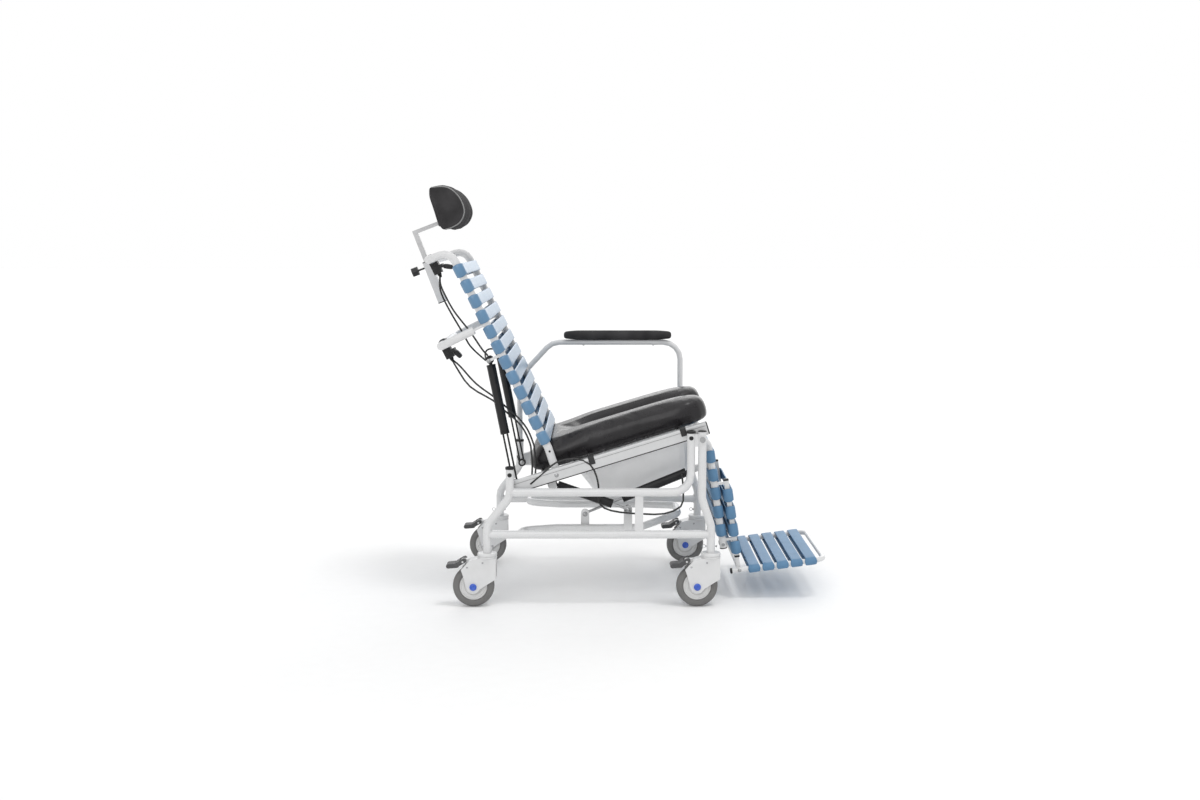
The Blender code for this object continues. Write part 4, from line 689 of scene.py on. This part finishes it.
def seat_cushion():
    """Open-front cushion: two long lobes of coated vinyl."""
    mesh = soft_mesh("seat_cushion", *CUSHION_SKIN, cushion_shape)
    for vert in mesh.vertices:
        place = SEAT.inverted() @ vert.co
        place.z = max(place.z, CUSHION_FLOOR)
        vert.co = SEAT @ place
    obj = piece("cushion", mesh, VINYL, "seat", SOFT_ANGLE)
    rounded_off(obj)
    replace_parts(obj, "seat_cushion")


PAD_LOW, PAD_BACK, PAD_DEPTH, PAD_HEIGHT, PAD_HALF_W = -0.0365, 0.004, 0.091, 0.137, 0.15
PAD_SHIFT, PAD_SWELL, PAD_TURN = 0.0085, 0.003, 0.009
PAD_RISE, PAD_EDGE, PAD_EDGE_FROM = 0.003, 0.011, 0.45
SEAM_INSET, SEAM_STEPS, PIPING_R = 0.004, 5, 0.0021
PAD_SEAM = (
    (0.14, 1.0), (0.44, 0.985), (0.66, 0.945), (0.83, 0.84), (0.955, 0.67), (1.0, 0.46),
    (0.96, 0.3), (0.84, 0.165), (0.655, 0.065), (0.385, 0.01), (0.14, 0.0),
)
BRACKET_PLACE, BRACKET_SIZE = (0.0015, 0, 0.006), (0.018, 0.026, 0.006)
BRACKET_LEVELS = ((0.003, 0.0), (0.001, 0.0012), (0.001, 0.006), (0.0, 0.0068), (0.0, 0.02))


def pad_shape(point):
    """Fuller front, higher back edge and more lean of the headrest pad."""
    place = PAD.inverted() @ point
    deep = (place.x - PAD_BACK) / PAD_DEPTH
    high = (place.z - PAD_LOW) / PAD_HEIGHT
    place.x += PAD_SHIFT + PAD_SWELL * deep - PAD_TURN * (high - 0.5)
    place.z += PAD_RISE + PAD_EDGE * (1 - deep) * eased(high, PAD_EDGE_FROM, 1.0)
    return PAD @ place


def headrest_pad():
    """D-shaped pad with a piped seam along the front of each end panel, and the bracket behind it."""
    mesh = soft_mesh("headrest_pad", *PAD_SKIN, pad_shape)
    skin = BVHTree.FromPolygons([v.co for v in mesh.vertices], [tuple(f.vertices) for f in mesh.polygons])
    seams = []
    for side in SIDES:
        y = side * (PAD_HALF_W - SEAM_INSET)
        points = []
        for u, v in PAD_SEAM:
            spot = pad_shape(PAD @ Vector((PAD_BACK + PAD_DEPTH * u, y, PAD_LOW + PAD_HEIGHT * v)))
            points.append(skin.find_nearest(spot)[0])
        seams.append(tube_along(smooth_route(points, SEAM_STEPS), PIPING_R))
    obj = piece("headrest_cushion", mesh, PAD_VINYL, "headrest_cushion", SOFT_ANGLE)
    rounded_off(obj)
    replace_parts(obj, "headrest_pad")
    seam = piece("headrest_piping", joined(seams), PIPING, "headrest_cushion", SOFT_ANGLE)
    place = PAD @ shift(BRACKET_PLACE) @ Matrix.Rotation(math.pi / 2, 4, "Y")
    bracket = plate(place, *BRACKET_SIZE, BRACKET_LEVELS)
    fitted("headrest_bracket", [bracket], DARK, "headrest_cushion")


def arm_pad():
    """Moulded armrest pad."""
    mesh = soft_mesh("armrest_pad", *ARM_SKIN, Vector)
    obj = piece("arm_pad", mesh, PAD_VINYL, "armrest", SOFT_ANGLE)
    rounded_off(obj)
    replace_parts(obj, "armrest_pad")


STRAP_SECTION = (
    (-0.5, 0.0), (-0.49, 0.3), (-0.465, 0.43), (-0.42, 0.49), (-0.25, 0.515), (0.0, 0.52),
    (0.25, 0.515), (0.42, 0.49), (0.465, 0.43), (0.49, 0.3), (0.5, 0.0), (0.49, -0.35),
    (0.45, -0.46), (0.0, -0.5), (-0.45, -0.46), (-0.49, -0.35),
)
END_CROWN, END_FLARE, SPAN_WIDTH = 0.0028, 0.15, 0.9
END_STEPS, SPAN_STEPS = 16, 12


def strap_form(half_span, bar_half, width, place):
    """A thick band round two bars, with rounded edges and full, barrel-shaped ends."""
    mid = bar_half + FIT + STRAP_THICK / 2
    path = []
    for end in (1, -1):
        for i in range(END_STEPS + 1):
            angle = math.pi * i / END_STEPS
            nx, ny = end * math.cos(angle), end * math.sin(angle)
            path.append((mid * nx, end * half_span + mid * ny, nx, ny))
        for i in range(1, SPAN_STEPS):
            path.append((-end * mid, end * half_span * (1 - 2 * i / SPAN_STEPS), -end, 0))
    rings = []
    for x, y, nx, ny in path:
        fullness = SPAN_WIDTH + END_FLARE * ny * ny
        ring = []
        for z, out in STRAP_SECTION:
            crown = END_CROWN * ny * ny * (1 - 4 * z * z) if out > 0 else 0.0
            reach = out * STRAP_THICK + crown
            ring.append(place @ Vector((x + nx * reach, y + ny * reach, z * width * fullness)))
        rings.append(ring)
    return lofted(rings, closed=True)


def straps():
    """Bands of the back, calf, shin and foot."""
    for i in range(STRAP_COUNT):
        z = STRAP_FIRST_Z + (STRAP_COUNT - 1 - i) * STRAP_PITCH
        mesh = strap_form(CANE_Y, TUBE_R, STRAP_WIDTH, BACK @ shift((CANE_X, 0, z)))
        band = piece(f"back_band_{i + 1:02d}", mesh, BLUE, "back", BAND_ANGLE)
        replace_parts(band, f"back_strap_{i + 1:02d}")
    shin_half = SHIN_HALF * math.sqrt(2) + FIT
    for name, frame_place, x, row, span, half, width, body in (
        ("calf", LEG, CALF_X, CALF_ROW, CALF_Y, CALF_R, CALF_WIDTH, "legrest"),
        ("shin", LEG, SHIN_X, SHIN_ROW, CALF_Y, shin_half, STRAP_WIDTH, "legrest"),
        ("foot", FOOT, 0, FOOT_ROW, FOOT_Y, FOOT_R, FOOT_WIDTH, "footrest"),
    ):
        count, first, pitch = row
        for i in range(count):
            place = frame_place @ shift((x, 0, first + pitch * i))
            mesh = strap_form(span, half, width, place)
            band = piece(f"{name}_band_{i + 1}", mesh, BLUE_MATT, body, BAND_ANGLE)
            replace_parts(band, f"{name}_straps")


# Casters

TYRE_HALF = (
    (0.0425, -0.0125), (0.0455, -0.0146), (0.05, -0.015), (0.056, -0.0147), (0.06, -0.0125),
    (0.0625, -0.009), (0.0633, -0.004),
)
HUB_HALF = (
    (0.0043, 0.018), (0.0135, 0.018), (0.015, 0.0165), (0.0158, 0.0128), (0.024, 0.012),
    (0.025, 0.011), (0.0262, 0.011), (0.0272, 0.0122), (0.0355, 0.0128), (0.037, 0.0116),
    (0.0382, 0.0128), (0.041, 0.0128), (0.0424, 0.0112),
)
CAP_PROFILE = (
    (0.0104, 0.0002), (0.0108, 0.0012), (0.0108, 0.0032), (0.0098, 0.0044), (0.007, 0.005),
    (0.0064, 0.0046), (0.0, 0.0046),
)
RIVET_PROFILE = ((0.003, 0.0), (0.003, 0.0006), (0.0022, 0.0014), (0.001, 0.0018), (0.0, 0.0019))
FORK_RIVETS = ((-0.06, 0.124), (-0.013, 0.138))
WHEEL_STEPS, BAND_STEPS = 56, 8
COLLAR_BANDS = ((0.0004, 0.0044), (0.0066, 0.0163))
BAND_DEPTH, BAND_EDGE, BAND_CROWN = 0.004, 0.0003, 0.0019
# Ribs on a pedal's lobes: start, end, half width, count
PEDAL_TREADS = (
    ((-0.045, 0, -0.0136), (-0.02, 0, -0.0116), 0.019, 4),
    ((-0.008, -0.0162, -0.0037), (0.005, -0.0162, 0.004), 0.0045, 3),
    ((-0.008, 0.0162, -0.0037), (0.005, 0.0162, 0.004), 0.0045, 3),
)
TREAD_LIFT, TREAD_HALF, TREAD_CORNER = 0.0057, 0.0011, 0.001
TREAD_LEVELS = ((0.0, 0.0), (0.0, 0.0012), (0.0005, 0.0019))


def each_caster():
    """Name and stem place of each caster."""
    for end, x in (("front", FRONT_LEG_X), ("rear", REAR_LEG_X)):
        for hand, side in (("right", -1), ("left", 1)):
            yield f"{end}_{hand}", Vector((x, side * SIDE_Y, 0))


def wheels():
    """Wheels: a bonded tyre on a stepped hub."""
    tyre = (*TYRE_HALF, (WHEEL_R, 0.0), *[(r, -h) for r, h in reversed(TYRE_HALF)])
    hub = (*HUB_HALF, *[(r, -h) for r, h in reversed(HUB_HALF)])
    for tag, stem in each_caster():
        centre = stem + Vector((-TRAIL, 0, WHEEL_R))
        for name, profile, look in (("tyre", tyre, TYRE), ("hub", hub, HUB)):
            turned = lathe(profile, centre, (0, 1, 0), WHEEL_STEPS, closed=True)
            wheel = piece(f"{name}_{tag}", turned, look, f"wheel_{tag}", WHEEL_ANGLE)
            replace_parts(wheel, f"caster_wheel_{tag}")


def tread(start, end, half_w, count):
    """Low ribs across a pedal's lobe."""
    ribs = []
    run = end - start
    turn = Matrix.Rotation(-math.atan2(run.z, run.x), 4, "Y")
    for i in range(count):
        spot = start + run * ((i + 0.5) / count)
        place = shift(spot) @ turn @ shift((0, 0, TREAD_LIFT))
        ribs.append(plate(place, TREAD_HALF, half_w, TREAD_CORNER, TREAD_LEVELS))
    return ribs


def collar_band(low, high):
    """Profile of a round-faced band on a caster's collar."""
    inner, face = COLLAR_R - BAND_DEPTH, COLLAR_R - BAND_EDGE
    profile = [(inner, low), (face, low)]
    for k in range(1, BAND_STEPS):
        angle = math.pi * k / BAND_STEPS
        height = (low + high - (high - low) * math.cos(angle)) / 2
        profile.append((face + BAND_CROWN * math.sin(angle), height))
    return profile + [(COLLAR_R - BAND_EDGE * 2, high), (inner, high)]


def caster_fittings():
    """Collar bands, axle caps, fork rivets and pedal treads."""
    for tag, stem in each_caster():
        collar = stem + Vector((0, 0, CASTER_TOP - COLLAR_H))
        bands = [lathe(collar_band(*span), collar, UP, steps=40, closed=True) for span in COLLAR_BANDS]
        fitted(f"collar_bands_{tag}", bands, CASTER_WHITE, f"caster_{tag}")
        caps, rivets = [], []
        for side in SIDES:
            face = stem + Vector((0, side * FORK_HALF, 0))
            caps.append(lathe(CAP_PROFILE, face + Vector((-TRAIL, 0, WHEEL_R)), (0, side, 0), steps=28))
            for x, z in FORK_RIVETS:
                rivets.append(lathe(RIVET_PROFILE, face + Vector((x, 0, z)), (0, side, 0), steps=16))
        fitted(f"axle_caps_{tag}", caps, CAP_BLUE, f"caster_{tag}")
        fitted(f"fork_rivets_{tag}", rivets, STEEL, f"caster_{tag}")
        ribs = []
        for start, end, half_w, count in PEDAL_TREADS:
            ribs += tread(stem + PEDAL + Vector(start), stem + PEDAL + Vector(end), half_w, count)
        fitted(f"pedal_tread_{tag}", ribs, PEDAL_GREY, f"pedal_{tag}")


# Fittings of the frames

# Bolts and nuts: radius, height
POST_BOLT, LUG_BOLT, HINGE_BOLT = (0.005, 0.0056), (0.0046, 0.0046), (0.005, 0.0044)
CALF_BOLT, FOOT_BOLT, SPRING_BOLT = (0.004, 0.0052), (0.0042, 0.005), (0.006, 0.0055)
SPRING_NUT, RECLINE_NUT = (0.0062, 0.0055), (0.006, 0.005)
RING_PIN_Z = 0.184
# Posts of a side frame: x, top, height of the bolt. Welds: x of the upright, way, height
POSTS = ((REAR_POST_X, REAR_POST_TOP, 0.404), (FRONT_POST_X, FRONT_TOP, 0.5165))
WELDS = ((REAR_LEG_X, 1, LOWER_RAIL_Z), (FRONT_LEG_X, -1, LOWER_RAIL_Z), (REAR_POST_X, 1, UPPER_RAIL_Z))
BOLT_SINK, CALF_SINK, FOOT_SINK, BUTTON_SINK, SCREW_SINK = 0.0016, 0.0014, 0.0008, 0.0007, 0.0006
BASE_LUG, BACK_LUG, HINGE_DROP, CALF_BOLT_UP = 0.008, 0.008, 0.002, 0.01
PIN_REACH, RING_R, RING_GAP, RING_WIRE, RING_STEPS = 0.004, 0.0052, 0.0048, 0.0008, 24
SOCKET_BORE, WELD_SHARE = ARM_R + 0.0009, 0.985
TABS_X, TAB_SECTION = (-0.34, -0.048), (0.0092, 0.0007, 0.0006, 2)
# Strips on a rail: insets at its ends, depth in its face, reach out of it, heights, corner
RAIL_LIP = ((0.004, 0.002), 0.004, 0.0011, (-0.0095, -0.0012), 0.0009)
# This strip is painted shadow: a dark line where the groove under the lip would be shaded
RAIL_GROOVE_SHADOW = ((0.006, 0.003), 0.004, 0.0005, (-0.0108, -0.0096), 0.0003)
# This strip is painted shadow: a dark line where the gap between the rail and the pan would be shaded
RAIL_GAP_SHADOW = ((0.03, 0.04), 0.006, 0.0007, (-0.0008, 0.0022), 0.0006)
RAIL_CORNER = 0.003
RAIL_PLUG = ((0.0004, 0.0002), (0.0, 0.0008), (0.0, 0.0026), (0.0014, 0.0038))
BUTTON_Z = 0.07
BUTTON_PROFILE = ((0.0034, 0.0), (0.0034, 0.0012), (0.0026, 0.0021), (0.0, 0.0024))
RIM_GAP, SOCKET_RIM = 0.0002, (SOCKET_HALF + 0.0004, 0.0083, 0.003)
TRIGGERS = (("recline", PUSH_BAR, (0.03, -0.02)), ("tilt", HANDLE, (0.01, -0.028)))
TRIGGER_PIN, LEVER_HALF_W = (0.0185, -0.018), 0.0215
# Levels of a trigger's grip: inset, share of the reach, extra
GRIP_LEVELS = ((0.003, 0.16, 0), (0.0008, 0.24, 0), (0.0, 0.5, 0), (0.0008, 0.92, 0), (0.0034, 1, 0.003))
GRIP_SIZE, RIB_SIZE = (0.0076, 0.0146, 0.004), (0.0108, 0.0012, 0.0009)
RIB_COUNT, RIB_FIRST, RIB_PITCH = 5, 0.008, 0.0055
RIB_LEVELS = ((0.0, -0.0004), (0.0, 0.0008), (0.0005, 0.0013))
SHIN_CORNER, SHIN_RIM = 0.002, (SHIN_HALF + 0.0006, SHIN_HALF - 0.0014, 0.0058)
SHIN_PLUG = ((-0.0003, 0.0002), (-0.0006, 0.0012), (-0.0006, 0.0044), (0.0012, 0.0058))
FOOT_PLUG = 0.0075
ARM_SCREWS = (-0.1044, 0.1342)
SCREW_PROFILE = (
    (0.004, 0.0), (0.004, 0.0012), (0.003, 0.0022), (0.0016, 0.0024), (0.0014, 0.0014),
    (0.0, 0.0014),
)


def ring_pin(place):
    """Pin through a leg's foot along X, with a pull ring at its rear end."""
    half = TUBE_R + PIN_REACH
    rear = ((0.0022, -half - 0.001), (0.0026, -half))
    front = ((0.0026, half - 0.001), (0.0036, half), (0.003, half + 0.0022), (0.0, half + 0.0028))
    forward = Vector((1, 0, 0))
    ring = circle(place - forward * (half + RING_GAP), forward, Vector(UP), RING_R, RING_STEPS)
    pin = lathe((*rear, *front), place, forward, steps=16)
    return [pin, tube_along([*ring, ring[0]], RING_WIRE, sides=8)]


def base_fittings():
    """Socket rims, plugs, bolts, ring pins and welds of the base."""
    rims, bolts, grey_bolts, beads = [], [], [], []
    for side in SIDES:
        y = side * SIDE_Y
        face = side * (SIDE_Y + TUBE_R - BOLT_SINK)
        for x, top, z in POSTS:
            rims.append(socket_rim((x, y, top), UP, SOCKET_BORE, TUBE_R))
            bolts.append(head(BOLT, (x, face, z), (0, side, 0), *POST_BOLT))
        rims.append(end_plug((FRONT_LEG_TOP_X, y, FRONT_TOP), UP, TUBE_R))
        for x in (REAR_LEG_X, FRONT_LEG_X):
            grey_bolts += ring_pin(Vector((x, y, RING_PIN_Z)))
        for x, way, z in WELDS:
            beads.append(weld_bead((x, y, z), (way, 0, 0), UP, TUBE_R * WELD_SHARE, TUBE_R))
    eye = EYE_HALF + FIT * 3
    for form, size, pivot, y, way in (
        (NUT, SPRING_NUT, LEG_SPRING_BASE, LEG_SPRING_Y + eye, 1),
        (BOLT, SPRING_BOLT, LEG_SPRING_BASE, LEG_SPRING_Y - eye - BASE_LUG, -1),
        (NUT, SPRING_NUT, TILT_BASE, TILT_Y - eye, -1),
    ):
        grey_bolts.append(head(form, pivot + Vector((0, y, 0)), (0, way, 0), *size))
    fitted("base_rims", rims, BLACK, "base")
    fitted("base_bolts", bolts, BLACK, "base")
    fitted("base_grey_bolts", grey_bolts, STEEL, "base")
    fitted("base_welds", beads, POWDER, "base")


def tab(x, side):
    """Webbing tab from under the cushion over a rail, in the seat's frame."""
    top, face = RAIL_Z + RAIL_HALF_H, RAIL_Y + RAIL_HALF_W
    over = ((0.205, top - 0.004), (0.228, top + 0.0004), (0.25, top + 0.0014), (face - 0.003, top + 0.0014))
    edge = ((face - 0.0008, top + 0.0011), (face + 0.0005, top + 0.0004))
    path = (*over, *edge, *[(face + 0.0011, top - drop) for drop in (0.002, 0.012, 0.0215)])
    rings = []
    for i, (y, z) in enumerate(path):
        before, after = path[max(i - 1, 0)], path[min(i + 1, len(path) - 1)]
        run = Vector((after[0] - before[0], after[1] - before[1])).normalized()
        out = Vector((-run.y, run.x))
        ring = []
        for u, v in rounded_rect(*TAB_SECTION):
            ring.append(SEAT @ Vector((x + u, side * (y + out.x * v), z + out.y * v)))
        rings.append(ring)
    return lofted(rings)


def strip(side, level, ends, sink, proud, heights, corner):
    """A rounded strip along a rail's outer face, in the seat's frame."""
    start, end = RAIL_X[0] + ends[0], RAIL_X[1] - ends[1]
    y = side * (RAIL_Y + RAIL_HALF_W + (proud - sink) / 2)
    height = heights[1] - heights[0]
    levels = ((corner * 0.6, 0.0), (0.0, corner), (0.0, height - corner), (corner * 0.6, height))
    place = SEAT @ shift(((start + end) / 2, y, level + heights[0]))
    return plate(place, (end - start) / 2, (sink + proud) / 2, corner, levels)


def seat_fittings():
    """Rail plugs, cushion tabs, rail lips, painted groove and gap shadows, hinge bolts and welds of the
    seat.
    """
    plugs, tabs, lips, groove_shadows, edges, bolts, beads = [], [], [], [], [], [], []
    top, low = RAIL_Z + RAIL_HALF_H, RAIL_Z - RAIL_HALF_H
    quarter = Matrix.Rotation(math.pi / 2, 4, "Y")
    seat_up = SEAT.to_3x3() @ Vector(UP)
    for side in SIDES:
        for x, turn in ((RAIL_X[1], quarter), (RAIL_X[0], quarter.inverted())):
            place = SEAT @ shift((x, side * RAIL_Y, RAIL_Z)) @ turn
            plugs.append(plate(place, RAIL_HALF_H, RAIL_HALF_W, RAIL_CORNER, RAIL_PLUG))
        tabs += [tab(x, side) for x in TABS_X]
        lips.append(strip(side, top, *RAIL_LIP))
        # Dark strip under the lip: painted groove shadow
        groove_shadows.append(strip(side, top, *RAIL_GROOVE_SHADOW))
        # Black strip along the rail's lower edge: painted shadow of the gap above the pan
        edges.append(strip(side, low, *RAIL_GAP_SHADOW))
        hinge = SEAT @ Vector((BACK_HINGE_X, side * (RAIL_Y + RAIL_HALF_W), RAIL_Z - HINGE_DROP))
        bolts.append(head(BOLT, hinge, (0, side, 0), *HINGE_BOLT))
        spring = RECLINE_FOOT + Vector((0, side * (RECLINE_Y - EYE_HALF - FIT * 3), 0))
        bolts.append(head(NUT, spring, (0, -side, 0), *RECLINE_NUT))
        for x in CROSS_X:
            end = SEAT @ Vector((x, side * (RAIL_Y - RAIL_HALF_W), RAIL_Z))
            beads.append(weld_bead(end, (0, -side, 0), seat_up, CROSS_R, 0.0))
    fitted("rail_plugs", plugs, BLACK, "seat")
    fitted("cushion_tabs", tabs, WEBBING, "seat")
    fitted("rail_lips", lips, RAIL_WHITE, "seat")
    fitted("rail_groove_shadows", groove_shadows, GROOVE_SHADOW_GREY, "seat")
    fitted("rail_gap_shadows", edges, RUBBER, "seat")
    fitted("seat_bolts", bolts, STEEL, "seat")
    fitted("seat_welds", beads, RAIL_WHITE, "seat")


def back_fittings():
    """Lug bolts, snap buttons and the headrest socket's rims."""
    bolts, dark = [], []
    for side in SIDES:
        out = BACK.to_3x3() @ Vector((0, side, 0))
        spot = BACK @ Vector((SPRING_LUG[0], side * (CANE_Y + BACK_LUG), SPRING_LUG[1]))
        bolts.append(head(BOLT, spot, out, *LUG_BOLT))
        spot = BACK @ Vector((CANE_X, side * (CANE_Y + TUBE_R - BUTTON_SINK), BUTTON_Z))
        dark.append(lathe(BUTTON_PROFILE, spot, out, steps=16))
    for end in SIDES:
        turn = Matrix.Rotation(0.0 if end > 0 else math.pi, 4, "X")
        place = HEAD @ shift((0, 0, end * (SOCKET_LENGTH / 2 + RIM_GAP))) @ turn
        dark.append(square_rim(place, *SOCKET_RIM))
    fitted("back_bolts", bolts, STEEL, "back")
    fitted("back_buttons", dark, BLACK, "back")


def lever_fittings():
    """Grips on the triggers and ribs on the housings."""
    for name, bar, tip in TRIGGERS:
        top = bar[1] - TUBE_R
        pin = Vector((bar[0] + TRIGGER_PIN[0], LEVER_Y, top + TRIGGER_PIN[1]))
        reach = math.hypot(*tip)
        place = BACK @ shift(pin) @ Matrix.Rotation(math.atan2(*tip), 4, "Y")
        levels = [(inset, reach * share + more) for inset, share, more in GRIP_LEVELS]
        grip = plate(place, *GRIP_SIZE, levels)
        fitted(f"{name}_grip", [grip], DARK, f"{name}_trigger")
        ribs = []
        for side in SIDES:
            turn = Matrix.Rotation(-side * math.pi / 2, 4, "X")
            for i in range(RIB_COUNT):
                spot = (bar[0], LEVER_Y + side * LEVER_HALF_W, top - RIB_FIRST - RIB_PITCH * i)
                ribs.append(plate(BACK @ shift(spot) @ turn, *RIB_SIZE, RIB_LEVELS))
        fitted(f"{name}_ribs", ribs, DARK, "back")


def leg_fittings():
    """Plugs, post collars and bolts of the legrest and footrest."""
    plugs, bolts, tails, hinges = [], [], [], []
    leg_down = LEG.to_3x3() @ Vector(DOWN)
    foot_back = FOOT.to_3x3() @ Vector(DOWN)
    flip = Matrix.Rotation(math.pi, 4, "X")
    for side in SIDES:
        out = (0, side, 0)
        place = LEG @ shift((SHIN_X, side * CALF_Y, SHIN_TOP))
        plugs.append(plate(place, SHIN_HALF, SHIN_HALF, SHIN_CORNER, SHIN_PLUG))
        place = LEG @ shift((SHIN_X, side * CALF_Y, SHIN_LOW - RIM_GAP)) @ flip
        plugs.append(square_rim(place, *SHIN_RIM, SHIN_CORNER))
        plugs.append(end_plug(LEG @ Vector((CALF_X, side * CALF_Y, CALF_LOW)), leg_down, CALF_R))
        spot = LEG @ Vector((CALF_X, side * (CALF_Y + CALF_R - CALF_SINK), CALF_LOW + CALF_BOLT_UP))
        bolts.append(head(BOLT, spot, out, *CALF_BOLT))
        tail = FOOT @ Vector((0, side * FOOT_Y, -FOOT_TAIL))
        tails.append(end_plug(tail, foot_back, FOOT_R, FOOT_PLUG))
        spot = FOOT @ Vector((0, side * (FOOT_Y + FOOT_R - FOOT_SINK), 0))
        hinges.append(head(BOLT, spot, out, *FOOT_BOLT))
    fitted("legrest_plugs", plugs, BLACK, "legrest")
    fitted("legrest_bolts", bolts, STEEL, "legrest")
    fitted("footrest_plugs", tails, BLACK, "footrest")
    fitted("footrest_bolts", hinges, STEEL, "footrest")


def arm_fittings():
    """Screws under the armrest's tube."""
    height = ARM_TOP_Z - ARM_R + SCREW_SINK
    screws = [lathe(SCREW_PROFILE, (x, SIDE_Y, height), DOWN, steps=20) for x in ARM_SCREWS]
    fitted("armrest_screws", screws, STEEL, "armrest")


def spring_bands(start, end, y, radius, length):
    """End bands of a gas spring's cylinder."""
    way = (end - start).normalized()
    spot = start + Vector((0, y, 0)) + way * SPRING_NECK
    spans = ((0.0004, 0.004), (length - 0.01, length - 0.006), (length - 0.0046, length + 0.0002))
    made = []
    for low, high in spans:
        levels = ((-0.0006, low), (0.0005, low + 0.0006), (0.0005, high - 0.0006), (-0.0006, high))
        profile = [(radius + out, level) for out, level in levels]
        made.append(lathe(profile, spot, way, steps=32, closed=True))
    return made


def springs():
    """Bands on the gas springs' cylinders."""
    recline = []
    for side in SIDES:
        recline += spring_bands(LUG, RECLINE_FOOT, side * RECLINE_Y, SPRING_R, RECLINE_LENGTH)
    fitted("recline_bands", recline, BLACK, "recline_cylinders")
    tilt = spring_bands(TILT_SEAT, TILT_BASE, TILT_Y, TILT_R, TILT_LENGTH)
    fitted("tilt_bands", tilt, BLACK, "tilt_spring_cylinder")
    leg = spring_bands(LEG_SPRING_TOP, LEG_SPRING_BASE, LEG_SPRING_Y, SPRING_R, LEG_SPRING_LENGTH)
    fitted("legrest_bands", leg, BLACK, "legrest_spring_cylinder")


# Floor, light and the CAD's own nodes

FLOOR_SIZE, FLOOR_DROP, WORLD_LEVEL = 40, 0.0005, 0.51
# Direction, angle in degrees, strength
SUNS = (
    ("top", (-0.1, 0.15, -1.0), 80, 0.5),
    ("shine", (-0.26, 0.24, -1.0), 14, 0.62),
    ("key", (0.3, 0.9, -0.52), 40, 0.68),
    ("fill", (-0.2, -0.9, -0.5), 50, 0.68),
)


def studio():
    """White floor, soft light from above and the sides, white surround."""
    bm = bmesh.new()
    bmesh.ops.create_grid(bm, x_segments=2, y_segments=2, size=FLOOR_SIZE)
    floor = linked("floor", to_mesh(bm))
    floor.data.materials.append(FLOOR)
    floor.location.z = -FLOOR_DROP
    world = bpy.data.worlds.new("studio")
    world.use_nodes = True
    tree = world.node_tree
    shade = tree.nodes["Background"]
    shade.inputs["Color"].default_value = (1.0, 1.0, 1.0, 1)
    rays = tree.nodes.new("ShaderNodeLightPath")
    seen = rays.outputs["Is Camera Ray"]
    for kind in ("Is Glossy Ray", "Is Transmission Ray"):
        most = new_node(tree, "ShaderNodeMath", {0: seen, 1: rays.outputs[kind]})
        most.operation = "MAXIMUM"
        seen = most.outputs[0]
    level = new_node(tree, "ShaderNodeMath", {0: seen, 1: 1.0 - WORLD_LEVEL, 2: WORLD_LEVEL})
    level.operation = "MULTIPLY_ADD"
    tree.links.new(level.outputs[0], shade.inputs["Strength"])
    bpy.context.scene.world = world
    for name, way, spread, power in SUNS:
        data = bpy.data.lights.new(name, "SUN")
        data.angle = math.radians(spread)
        data.energy = power
        lamp = linked(name, data)
        lamp.rotation_euler = Vector(way).to_track_quat("-Z", "Y").to_euler()
    bpy.context.scene.view_settings.view_transform = "Standard"


EDGE_WIDTH, EDGE_ANGLE = 0.0008, 50
LOOKS = (
    (POWDER, ("base_", "back_frame", "armrest_frame", "legrest_frame", "footrest_")),
    (RAIL_WHITE, ("seat_frame",)),
    (CASTER_WHITE, ("caster_fork",)),
    (PEDAL_GREY, ("caster_pedal",)),
    (PAN_PAINTED_LIGHT, ("commode_pan",)),
    (BLACK, ("recline_cylinder", "recline_rod", "tilt_cylinder", "legrest_cylinder")),
    (STEEL, ("knee_bolt", "tilt_rod", "legrest_rod")),
    (ALUMINIUM, ("headrest_post",)),
    (DARK, ("headrest_knob", "recline_lever", "tilt_lever")),
)


def carried_over():
    """Finishes of the CAD nodes that stay."""
    for name, obj in nodes.items():
        for look, starts in LOOKS:
            if name.startswith(starts):
                obj.data.materials.clear()
                obj.data.materials.append(look)
        soften = obj.modifiers.new("edges", "BEVEL")
        soften.width, soften.segments = EDGE_WIDTH, 2
        soften.limit_method = "ANGLE"
        soften.angle_limit = math.radians(EDGE_ANGLE)


camera()
cables()
carried_over()
straps()
wheels()
caster_fittings()
base_fittings()
seat_fittings()
back_fittings()
lever_fittings()
leg_fittings()
arm_fittings()
springs()
seat_cushion()
headrest_pad()
arm_pad()
studio()
